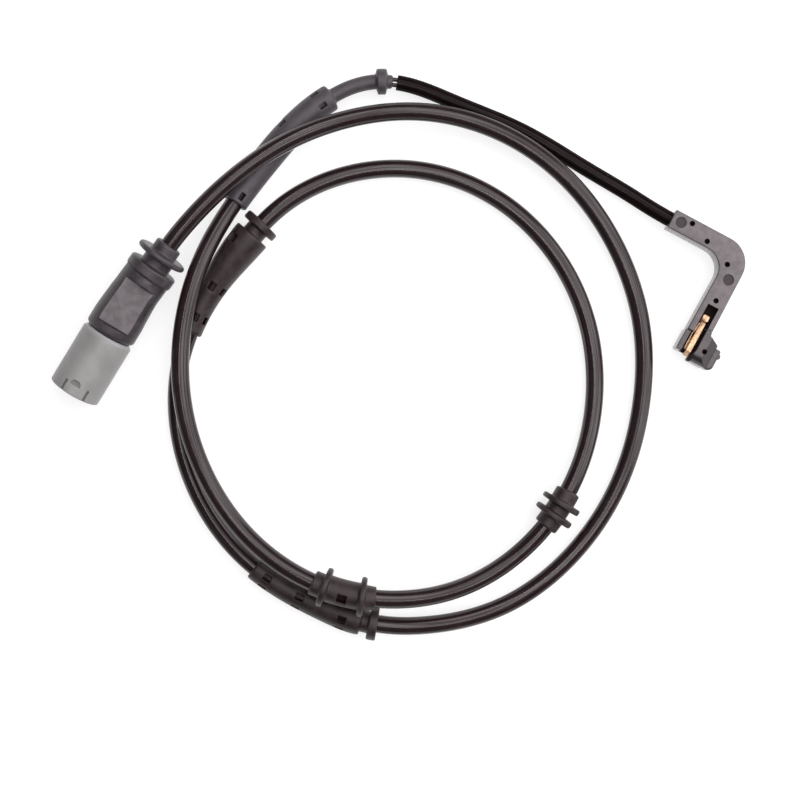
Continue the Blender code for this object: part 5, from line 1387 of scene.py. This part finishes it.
@dataclass
class Grommets:
    """The five grommets on the cable and the bent boot where the thin wires leave."""

    shop: Workshop
    route: Route
    turning: Turning
    edge: float = 0.45 * MM
    fillet: float = 0.3 * MM
    slack: float = 0.4 * MM
    window_length: float = 2.3 * MM
    window_width: float = 2.75 * MM
    lower_flange: Band = Band(2.4 * MM, 4.8 * MM)
    lower_neck: Band = Band(2.1 * MM, 3.15 * MM)
    lower_length: float = 33.2 * MM
    lower_radii: Pair = (3.5 * MM, 4.3 * MM)
    lower_windows: tuple[Place, ...] = ((0.155, 72.0, 20.0), (0.55, 90.0, 24.0), (0.86, 90.0, 24.0))
    upper_flange: Band = Band(2.2 * MM, 5.2 * MM)
    upper_neck: Band = Band(2.2 * MM, 3.2 * MM)
    upper_length: float = 32.6 * MM
    upper_radii: Pair = (3.4 * MM, 5.2 * MM)
    upper_windows: tuple[Place, ...] = ((0.15, 95.0, 153.0), (0.45, 92.0, 153.0), (0.88, 50.0, 14.0))
    spool_boot: Band = Band(3.2 * MM, 3.45 * MM)
    spool_flange: Band = Band(1.6 * MM, 5.65 * MM)
    spool_groove: Band = Band(2.15 * MM, 3.35 * MM)
    ringed_boot: Band = Band(2.85 * MM, 3.45 * MM)
    ringed_ring: Band = Band(1.7 * MM, 5.5 * MM)
    ringed_body: Band = Band(8.8 * MM, 3.75 * MM)
    mouth_radius: float = 2.7 * MM
    tail_radius: float = 3.75 * MM
    tail_swell: float = 0.25 * MM
    tail_window: Pair = (2.3 * MM, 1.6 * MM)
    tail_windows: tuple[Place, ...] = ((0.055, 112.0, 40.0), (0.62, 42.0, 12.0), (0.905, 112.0, 40.0))
    elbow_radius: float = 2.05 * MM
    elbow_collar: float = 2.5 * MM
    elbow_tip: float = 1.9 * MM
    elbow_flange: Band = Band(3.3 * MM, 3.55 * MM)
    elbow_reach: float = 13.1 * MM

    @staticmethod
    def swell(shares: Sequence[Pair], length: float, low: float, high: float) -> list[Pair]:
        """A smooth swelling profile.

        Args:
            shares: Knots as (share of the length, share of the swelling).
            length: The body's length.
            low: Its smallest radius.
            high: Its largest radius.

        Returns:
            The profile as (distance, radius) points.
        """
        knots = np.array([[share * length, low + (high - low) * blend] for share, blend in shares])
        return [tuple(row) for row in smooth_samples(knots[:, 0], knots, 6)]

    def moulded(self, name: str, profile: Sequence[Pair], start: float, windows: Sequence[Window], slot: str,
                node: str) -> None:
        """A grommet moulded round the cable.

        Args:
            name: The piece's name.
            profile: Its outside as (distance, radius) points.
            start: The station of its start.
            windows: Its windows.
            slot: Its material slot.
            node: The node that it replaces.
        """
        first, last = profile[0][0], profile[-1][0]
        bore = CABLE_RADIUS + FIT
        outer = [(first, bore)] + list(profile) + [(last, bore)]
        body = self.turning.tube(name, outer, self.loose_bore(first, last), windows)
        self.shop.lay(body, self.route, start, slot)
        self.shop.hand_over(body, slot, node)

    def loose_bore(self, first: float, last: float) -> list[Pair]:
        """A bore that grips the cable at both ends and stands a little off it between them."""
        tight, lip, slope = CABLE_RADIUS + FIT, 0.5 * MM, 0.3 * MM
        return [(first, tight), (first + lip, tight), (first + lip + slope, tight + self.slack),
                (last - lip - slope, tight + self.slack), (last - lip, tight), (last, tight)]

    def row(self, places: Sequence[Place], offset: float, length: float) -> list[Window]:
        """Pairs of windows at shares of a body's length."""
        return [Window(offset + share * length, angle, self.window_length, self.window_width)
                for share, top, side in places for angle in (top, side)]

    def make_lower(self) -> None:
        """Long grommet at the bottom of the spiral, with its flange towards the plug's end."""
        flange, neck, length = self.lower_flange, self.lower_neck, self.lower_length
        start = flange.length + neck.length
        edge, fillet = self.edge, self.fillet
        profile = rounded([
            (0.0, 3.0 * MM, 0.0), (0.0, flange.radius, edge), (flange.length, flange.radius, edge),
            (flange.length, neck.radius, fillet), (start, neck.radius, fillet),
            (start, 4.15 * MM, edge), (start + 1.2 * MM, 4.23 * MM, 0.0),
        ], False)
        shares = ((0.05, 0.95), (0.1, 1.0), (0.25, 0.75), (0.42, 0.4), (0.6, 0.18), (0.8, 0.05), (0.985, 0.0))
        body = self.swell(shares, length, *self.lower_radii)
        profile += [(start + z, r) for z, r in body] + [(start + length, 3.25 * MM)]
        windows = self.row(self.lower_windows, start, length)
        self.moulded("lower_holder", profile, LOWER_START, windows, "black_rubber", "long_grommet_lower")

    def make_upper(self) -> None:
        """Long grommet at the upper left, tapering towards the plug's end."""
        length, neck, flange = self.upper_length, self.upper_neck, self.upper_flange
        groove_end = length + neck.length
        end = groove_end + flange.length
        edge, fillet = self.edge, self.fillet
        shares = ((0.015, 0.0), (0.15, 0.04), (0.32, 0.14), (0.5, 0.35), (0.68, 0.66), (0.85, 0.92),
                  (0.97, 1.0))
        body = self.swell(shares, length, *self.upper_radii)
        profile = [(0.0, 3.15 * MM)] + body
        profile += rounded([
            body[-1] + (0.0,), (length, flange.radius, edge), (length, neck.radius, fillet),
            (groove_end, neck.radius, fillet), (groove_end, flange.radius, edge),
            (end, flange.radius, edge), (end, 3.0 * MM, 0.0),
        ], False)[1:]
        windows = self.row(self.upper_windows, 0.0, length)
        self.moulded("upper_holder", profile, UPPER_START, windows, "black_rubber", "long_grommet_upper")

    def make_spool(self) -> None:
        """Short grommet with two round flanges and a groove."""
        boot, flange, groove = self.spool_boot, self.spool_flange, self.spool_groove
        first = boot.length + flange.length
        second = first + groove.length
        after = second + flange.length
        end = after + boot.length
        edge, fillet, inner, tip = 0.5 * MM, 0.35 * MM, 0.4 * MM, 0.6 * MM
        profile = rounded([
            (0.0, self.mouth_radius, 0.0), (0.0, boot.radius, tip), (boot.length, boot.radius, fillet),
            (boot.length, flange.radius, edge), (first, flange.radius, edge), (first, groove.radius, inner),
            (second, groove.radius, inner), (second, flange.radius, edge), (after, flange.radius, edge),
            (after, boot.radius, fillet), (end, boot.radius, tip), (end, self.mouth_radius, 0.0),
        ], False)
        self.moulded("spool_holder", profile, SPOOL_START, (), "black_rubber", "spool_grommet")

    def make_window_grommet(self) -> None:
        """Short grommet with two thin rings and one window."""
        boot, ring, body = self.ringed_boot, self.ringed_ring, self.ringed_body
        body_start = boot.length + ring.length
        body_end = body_start + body.length
        ring_end = body_end + ring.length
        end = ring_end + boot.length
        edge, fillet, inner = 0.6 * MM, self.fillet, 0.35 * MM
        profile = rounded([
            (0.0, self.mouth_radius, 0.0), (0.0, 3.2 * MM, 0.35 * MM), (boot.length, boot.radius, fillet),
            (boot.length, ring.radius, edge), (body_start, ring.radius, edge),
            (body_start, body.radius, inner), (body_end, body.radius, inner),
            (body_end, ring.radius, edge), (ring_end, ring.radius, edge),
            (ring_end, boot.radius, fillet), (end, boot.radius, 0.5 * MM), (end, self.mouth_radius, 0.0),
        ], False)
        windows = [Window(body_start + 0.5 * body.length, 62.0, 2.6 * MM, 4.6 * MM)]
        self.moulded("ringed_holder", profile, WINDOW_START, windows, "black_rubber", "window_grommet")

    def make_tail(self) -> None:
        """Long grey holder in which the cable ends and the elbow begins."""
        length, radius = TAIL_LENGTH, self.tail_radius
        profile = [(0.0, 3.4 * MM), (0.35 * MM, radius)]
        for share in np.linspace(0.04, 0.96, 24):
            profile.append((share * length, radius + self.tail_swell * math.sin(math.pi * share)))
        end = [profile[-1] + (0.0,), (length, radius, 0.8 * MM), (length, 2.6 * MM, 0.0)]
        profile += rounded(end, False)[1:]
        windows = [Window(share * length, angle, *self.tail_window)
                   for share, near, far in self.tail_windows for angle in (near, far)]
        bore = CABLE_RADIUS + FIT
        outer = [(0.0, bore)] + profile
        body = self.turning.tube("tail_holder", outer, self.loose_bore(0.0, length), windows)
        self.shop.lay(body, self.route, TAIL_START, "grey_rubber")
        self.shop.hand_over(body, "grey_rubber", "tail_grommet")

    def make_elbow(self) -> float:
        """Thin bent boot with a small flange and a domed end.

        Returns:
            The station of its end.
        """
        start = CABLE_END + 1.0 * MM
        radius, collar, tip = self.elbow_radius, self.elbow_collar, self.elbow_tip
        width, flange_radius = self.elbow_flange.length, self.elbow_flange.radius
        flange = TAIL_START + TAIL_LENGTH + self.elbow_reach - start
        end = flange + width + 1.4 * MM
        inside = TAIL_START + TAIL_LENGTH - start
        profile = [(0.0, 0.0)] + rounded([
            (0.0, radius, 0.0), (inside - 2.0 * MM, radius, 0.0), (inside - 2.0 * MM, collar, 0.0),
            (inside + 0.1 * MM, collar, 0.2 * MM), (inside + 0.5 * MM, radius, 0.4 * MM),
            (flange, radius, 0.4 * MM), (flange + 0.45 * MM, flange_radius, 0.4 * MM),
            (flange + width - 0.45 * MM, flange_radius, 0.4 * MM), (flange + width, tip, 0.3 * MM),
            (end, tip, 0.7 * MM), (end, 0.0, 0.0),
        ], False)
        elbow = self.turning.solid("elbow_moulding", profile)
        self.shop.lay(elbow, self.route, start, "grey_rubber")
        self.shop.hand_over(elbow, "grey_rubber", "elbow_boot")
        return start + end


@dataclass
class SensorHead:
    """The L-shaped arm, the nose and the copper clip. u runs to the nose, v to the outer side."""

    shop: Workshop
    height: float = 7.0 * MM
    edge: float = 0.3 * MM
    arm_end_v: float = -21.4 * MM
    outer_u: float = -26.3 * MM
    first_width: float = 5.4 * MM
    entry_height: float = 3.5 * MM
    slot: Place = (-7.5 * MM, -1.5 * MM, 1.7 * MM)
    pin_radius: float = 0.7 * MM
    pin_depth: float = 2.2 * MM
    mark_depth: float = 0.2 * MM
    margin: float = 1.0 * MM
    nose_side_v: float = 6.7 * MM
    nose_slope_v: float = 4.05 * MM
    nose_end_u: float = 8.7 * MM
    nose_rounding: float = 3.0 * MM
    ledge_height: float = 4.6 * MM
    ledge_u: float = 2.1 * MM
    ledge_v: float = 8.35 * MM
    finger_u: float = 7.4 * MM
    slot_floor: float = 3.0 * MM
    body_split: float = -1.3 * MM
    finger_split: float = 1.25 * MM
    channel_v: float = 0.9 * MM
    low_height: float = 1.5 * MM
    bend_radius: float = 4.5 * MM
    clip_edge: float = 0.24 * MM

    def matrix(self) -> Matrix:
        """Matrix of the head: local x is u, y is v and z is up."""
        turn = math.radians(HEAD_ANGLE)
        along = Vector((math.cos(turn), math.sin(turn), 0.0))
        across = Vector((-along.y, along.x, 0.0))
        matrix = Matrix((along, across, Vector((0.0, 0.0, 1.0)))).transposed().to_4x4()
        matrix.translation = HEAD_ORIGIN
        return matrix

    def channel_points(self) -> list[Vector]:
        """The wires' way through the head, the same as in the part."""
        entry_u = self.outer_u + self.first_width / 2.0
        bend_v = self.channel_v - self.bend_radius
        turn = self.bend_radius * (1.0 - math.sqrt(0.5))
        drop = (self.low_height - self.entry_height) / 4.0
        slot_u = self.slot[0]
        places = [
            (entry_u, self.arm_end_v, self.entry_height),
            (entry_u, (self.arm_end_v + bend_v) / 2.0, self.entry_height),
            (entry_u, bend_v, self.entry_height + drop),
            (entry_u + turn, self.channel_v - turn, self.entry_height + 2.0 * drop),
            (entry_u + self.bend_radius, self.channel_v, self.entry_height + 3.0 * drop),
            ((entry_u + self.bend_radius + slot_u) / 2.0, self.channel_v, self.low_height),
            (slot_u, self.channel_v, self.low_height),
            (self.body_split, self.channel_v, self.low_height),
            (self.finger_split, self.channel_v, self.low_height),
        ]
        matrix = self.matrix()
        return [matrix @ Vector(place) for place in places]

    def arm_end(self) -> Vector:
        """Where the wires enter the arm."""
        entry_u = self.outer_u + self.first_width / 2.0
        return self.matrix() @ Vector((entry_u, self.arm_end_v, self.entry_height))

    def pin(self, place: Pair) -> bpy.types.Object:
        """The cutter of one round pin pit, at a place in millimetres."""
        middle = Matrix.Translation((place[0] * MM, place[1] * MM, 0.0))
        return self.shop.drum("pin", self.pin_radius, self.height - self.pin_depth,
                              self.height + self.margin, middle)

    def make_arm(self) -> None:
        """L-shaped moulding with rounded edges, pin pits, round marks and slot."""
        inner_u = self.outer_u + self.first_width
        side_v, nose_v = 3.0 * MM, 3.25 * MM
        finger_end = self.finger_split - SEAT
        body_end = self.body_split - SEAT
        slot_u, slot_left, slot_right = self.slot
        outline = rounded([
            (self.outer_u, self.arm_end_v, 0.0), (inner_u, self.arm_end_v, 0.0), (inner_u, -side_v, 5.8 * MM),
            (finger_end, -nose_v, 0.0), (finger_end, nose_v, 0.0), (self.outer_u, side_v, 7.5 * MM),
        ], True, 4.0)
        arm = self.shop.prism("arm_moulding", outline, 0.0, self.height, self.edge)
        top = self.height + self.margin
        cutters = [
            self.shop.box("split", (body_end, slot_left, -self.margin),
                          (self.finger_split + self.margin, 5.0 * MM, top)),
            self.shop.box("slot", (slot_u, slot_left, self.slot_floor),
                          (self.body_split + self.margin, slot_right, top)),
        ]
        cutters += [self.pin(place) for place in ARM_PITS]
        mark_floor = self.height - self.mark_depth
        for u, v in ROUND_MARKS:
            middle = Matrix.Translation((u * MM, v * MM, 0.0))
            cutters.append(self.shop.drum("mark", MARK_RADIUS * MM, mark_floor, top, middle))
        for cutter in cutters:
            self.shop.combine(arm, cutter, Combine.CUT)
        arm.data.transform(self.matrix())
        self.shop.dress(arm, "head_plastic")
        self.shop.hand_over(arm, "head_plastic", "sensor_arm")

    def make_nose(self) -> None:
        """Nose: a wedge-shaped body and a thin finger on one floor, with a ledge and a knob."""
        body_start = self.body_split + 0.1 * MM
        finger_start = self.finger_split + 0.1 * MM
        side_v, slope_v, end_u = self.nose_side_v, self.nose_slope_v, self.nose_end_u
        ledge_height, round_radius = self.ledge_height, self.nose_rounding
        slot_left, slot_right = self.slot[1:]
        body = self.shop.prism("nose_moulding", rounded([
            (body_start, slot_right, 0.0), (5.4 * MM, slot_right, 0.0), (7.9 * MM, 0.95 * MM, 0.3 * MM),
            (end_u, 0.95 * MM, 0.4 * MM), (end_u, side_v, 1.5 * MM), (1.3 * MM, side_v, 0.5 * MM),
            (0.1 * MM, 3.4 * MM, 0.3 * MM), (body_start, 3.1 * MM, 0.0),
        ], True, 6.0), 0.0, self.height)
        top = self.height + self.margin
        end = end_u + self.margin
        turns = [math.radians(90.0 - 5.0 * k) for k in range(19)]
        arc = [(end_u - round_radius + round_radius * math.cos(turn),
                self.height - round_radius * (1.0 - math.sin(turn))) for turn in turns]
        rounding = [(end_u - round_radius, top)] + arc + [(end, self.height - round_radius), (end, top)]
        along = Matrix.Rotation(math.radians(90.0), 4, "X")
        reach = side_v + 2.0 * MM
        cutter = self.shop.prism("rounding", rounding, -reach, reach, matrix=along)
        self.shop.combine(body, cutter, Combine.CUT)
        slope = (self.height - ledge_height) / (side_v - slope_v)
        facet = [(slope_v - 1.0 * MM, self.height + slope * MM), (reach, ledge_height - slope * 2.0 * MM),
                 (reach, 2.0 * self.height), (slope_v - 1.0 * MM, 2.0 * self.height)]
        across = Matrix((Vector((0, 0, 1)), Vector((1, 0, 0)), Vector((0, 1, 0)))).to_4x4()
        cutter = self.shop.prism("facet", facet, body_start - self.margin, end, matrix=across)
        self.shop.combine(body, cutter, Combine.CUT)
        ledge_end = end_u - 0.15 * MM
        ledge = self.shop.prism("ledge", rounded([
            (self.ledge_u, slope_v, 0.0), (ledge_end, slope_v, 0.0), (ledge_end, self.ledge_v, 1.5 * MM),
            (self.ledge_u, self.ledge_v, 0.6 * MM),
        ], True, 10.0), 0.0, ledge_height, 0.6 * MM)
        knob_place = Matrix.Translation((3.8 * MM, 8.1 * MM, 0.0))
        additions = [
            ledge,
            self.shop.drum("knob", 0.9 * MM, 1.2 * MM, 3.6 * MM, knob_place, 0.2 * MM),
            self.shop.prism("floor", [
                (body_start, slot_left + 0.1 * MM), (finger_start, slot_left + 0.1 * MM),
                (finger_start, -3.05 * MM), (7.3 * MM, -3.05 * MM),
                (7.3 * MM, 2.7 * MM), (body_start, 2.7 * MM),
            ], 0.0, self.slot_floor),
            self.shop.prism("finger", rounded([
                (finger_start, -3.6 * MM, 0.0), (self.finger_u, -3.6 * MM, 0.5 * MM),
                (self.finger_u, -2.05 * MM, 0.2 * MM), (finger_start, -2.05 * MM, 0.0),
            ], True), 0.0, self.height, 0.25 * MM),
        ]
        for addition in additions:
            self.shop.combine(body, addition, Combine.JOIN)
        self.shop.combine(body, self.pin(NOSE_PIT), Combine.CUT)
        body.data.transform(self.matrix())
        self.shop.dress(body, "nose_plastic")
        self.shop.hand_over(body, "nose_plastic", "sensor_nose")

    def make_clip(self) -> None:
        """Copper clip: the frame's strip, its bent side edge and the grey catch that holds the edge."""
        shape = bmesh.new()
        shape.from_mesh(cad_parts["spring_clip"].data)
        clip = self.shop.object_from("clip_strip", shape)
        low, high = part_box("spring_clip")
        foot, crown = low[2], high[2]
        place = self.matrix()
        strip_left, foot_top, outer_v = -0.81 * MM, foot + 0.3 * MM, -1.6 * MM
        old_edge = self.shop.box("old_edge", (-2.0 * MM, -1.7 * MM, foot_top),
                                 (6.25 * MM, strip_left, crown + self.margin), place)
        self.shop.combine(clip, old_edge, Combine.CUT)
        line = [(-1.9 * MM, -1.1 * MM), (1.1 * MM, -1.4 * MM), (1.6 * MM, outer_v), (6.2 * MM, outer_v)]
        back = [(u, v + self.clip_edge) for u, v in reversed(line)]
        additions = [
            self.shop.prism("edge", line + back, foot + 0.1 * MM, crown - 0.05 * MM, 0.04 * MM, place),
            self.shop.box("bridge", (1.7 * MM, outer_v + 0.1 * MM, foot + 0.05 * MM),
                          (6.1 * MM, -0.5 * MM, foot_top), place),
            self.shop.box("link", (1.0 * MM, -1.35 * MM, crown - 0.9 * MM),
                          (2.6 * MM, -0.7 * MM, crown - 0.5 * MM), place),
        ]
        for addition in additions:
            self.shop.combine(clip, addition, Combine.JOIN)
        self.shop.dress(clip, "copper")
        self.shop.hand_over(clip, "copper", "spring_clip")
        catch = self.shop.prism("clip_catch", rounded([
            (0.85 * MM, -1.2 * MM, 0.1 * MM), (1.7 * MM, -1.38 * MM, 0.1 * MM),
            (2.7 * MM, -1.3 * MM, 0.1 * MM),
            (2.5 * MM, -0.86 * MM, 0.1 * MM), (1.1 * MM, -0.86 * MM, 0.1 * MM),
        ], True), crown - 0.45 * MM, crown + 0.05 * MM, 0.08 * MM, place)
        self.shop.dress(catch, "nose_plastic")
        self.shop.hand_over(catch, "nose_plastic")


def dress_node(node: str, slot: str) -> None:
    """Give a node of the frame its finish.

    Args:
        node: The node's name.
        slot: The material slot.
    """
    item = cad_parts[node]
    item.data.materials.clear()
    item.data.materials.append(MATERIALS[slot])
    LOG.info("%s dressed in %s", node, slot)


@dataclass(frozen=True)
class Panel:
    """A soft light panel.

    Attributes:
        place: Its middle.
        turn: Its turn from facing down, in degrees about x, y and z.
        size: Its two sides.
        radiance: How bright it looks.
    """

    place: Place
    turn: Place
    size: Pair
    radiance: float


@dataclass
class Studio:
    """Floor, world, lights and the camera."""

    shop: Workshop
    camera_place: Place = (0.36 * MM, -12.5 * MM, 455.0 * MM)
    view_width: float = 224.0 * MM
    sensor: float = 36.0
    floor_reach: float = 7.0
    floor_drop: float = 0.02 * MM
    backdrop_height: float = 0.5
    backdrop_sides: int = 96
    floor_white: float = 0.35
    floor_glow: float = 0.76
    floor_shine: float = 1.0
    panels: tuple[Panel, ...] = (
        Panel((0.42, 0.33, 1.0), (0.0, 0.0, 0.0), (1.16, 1.34), 2.6),
        Panel((1.0, 0.33, 0.55), (0.0, 90.0, 0.0), (0.9, 1.34), 2.6),
        Panel((-0.18, 0.31, 1.0), (0.0, 0.0, 0.0), (0.03, 1.38), 14.0),
        Panel((0.4, -0.36, 1.0), (0.0, 0.0, 0.0), (1.2, 0.03), 14.0),
    )
    light_color: Colour = (1.0, 0.94, 0.955)
    world_strength: float = 0.14

    def make_camera(self) -> None:
        """The photograph's view: straight down, a little below the middle of the spiral."""
        data = bpy.data.cameras.new("camera")
        data.sensor_width = self.sensor
        data.lens = self.sensor * self.camera_place[2] / self.view_width
        data.clip_start = 0.01
        camera = bpy.data.objects.new("camera", data)
        camera.location = self.camera_place
        bpy.context.scene.collection.objects.link(camera)
        bpy.context.scene.camera = camera

    def _floor_material(self) -> bpy.types.Material:
        """White paper: it shows nearly white to the camera and in reflections, and keeps shadows."""
        material = bpy.data.materials.new("studio_floor")
        material.use_nodes = True
        sheet = Sheet(material.node_tree)
        shader = material.node_tree.nodes["Principled BSDF"]
        shader.inputs["Base Color"].default_value = (self.floor_white,) * 3 + (1.0,)
        shader.inputs["Roughness"].default_value = 0.9
        shader.inputs["Specular IOR Level"].default_value = 0.0
        shader.inputs["Emission Color"].default_value = (1.0, 1.0, 1.0, 1.0)
        path = sheet.add("ShaderNodeLightPath")
        seen = sheet.math("MAXIMUM", path.outputs["Is Camera Ray"], path.outputs["Is Transmission Ray"])
        mirrored = sheet.math("MULTIPLY", path.outputs["Is Glossy Ray"], self.floor_shine)
        glow = sheet.math("ADD", sheet.math("MULTIPLY", seen, self.floor_glow), mirrored)
        sheet.tree.links.new(glow, shader.inputs["Emission Strength"])
        return material

    def make_floor(self) -> None:
        """A plain pale floor under the harness, and a low round backdrop far behind it."""
        ground = bmesh.new()
        bmesh.ops.create_grid(ground, x_segments=1, y_segments=1, size=self.floor_reach)
        wall = bmesh.new()
        bmesh.ops.create_cone(wall, cap_ends=False, segments=self.backdrop_sides, radius1=self.floor_reach,
                              radius2=self.floor_reach, depth=self.backdrop_height)
        bmesh.ops.translate(wall, verts=wall.verts, vec=(0.0, 0.0, self.backdrop_height / 2.0))
        paper = self._floor_material()
        for name, shape in (("floor", ground), ("backdrop", wall)):
            item = self.shop.object_from(name, shape)
            item.location.z = -self.floor_drop
            item.data.materials.append(paper)

    def make_lights(self) -> None:
        """Broad soft panels above and beside the harness and a dim world round it."""
        world = bpy.data.worlds.new("world")
        world.use_nodes = True
        bpy.context.scene.world = world
        back = world.node_tree.nodes["Background"]
        back.inputs["Color"].default_value = (1.0, 0.985, 0.98, 1.0)
        back.inputs["Strength"].default_value = self.world_strength
        for panel in self.panels:
            light = bpy.data.lights.new("softbox", "AREA")
            light.shape = "RECTANGLE"
            light.size, light.size_y = panel.size
            light.energy = panel.radiance * math.pi * panel.size[0] * panel.size[1]
            light.color = self.light_color
            lamp = bpy.data.objects.new("softbox", light)
            lamp.location = panel.place
            lamp.rotation_euler = [math.radians(angle) for angle in panel.turn]
            bpy.context.scene.collection.objects.link(lamp)

    def set_view(self) -> None:
        """Plain colour handling."""
        bpy.context.scene.view_settings.view_transform = "Standard"


def main() -> None:
    """Build the studio, the cords and every piece in order, and log each piece's face count."""
    logging.basicConfig(level=logging.INFO, format="%(message)s")
    shop = Workshop()
    studio = Studio(shop)
    studio.make_camera()
    head = SensorHead(shop)
    route = Route([Vector(point) * MM for point in HARNESS_POINTS] + head.channel_points())
    turning = Turning(shop)
    grommets = Grommets(shop, route, turning)
    harness = Harness(shop, route)
    harness.make_cable()
    harness.sleeve_start = grommets.make_elbow() + harness.sleeve_gap
    harness.sleeve_end = route.station_near(head.arm_end()) - SEAT
    harness.make_lead()
    plug = Plug(shop, route, turning)
    plug.make_collar()
    plug.make_boot()
    grommets.make_lower()
    grommets.make_upper()
    grommets.make_spool()
    grommets.make_window_grommet()
    grommets.make_tail()
    head.make_arm()
    head.make_nose()
    head.make_clip()
    for node, slot in (("plug_insert", "carrier_plastic"), ("plug_seal", "seal_rubber"),
                       ("plug_contact_1", "contact_metal"), ("plug_contact_2", "contact_metal"),
                       ("plug_core_1", "wire_insulation"), ("plug_core_2", "wire_insulation"),
                       ("wear_loop", "wire_insulation")):
        dress_node(node, slot)
    studio.make_floor()
    studio.make_lights()
    studio.set_view()
    bpy.data.objects.remove(route.guide, do_unlink=True)


if __name__ == "__main__":
    main()
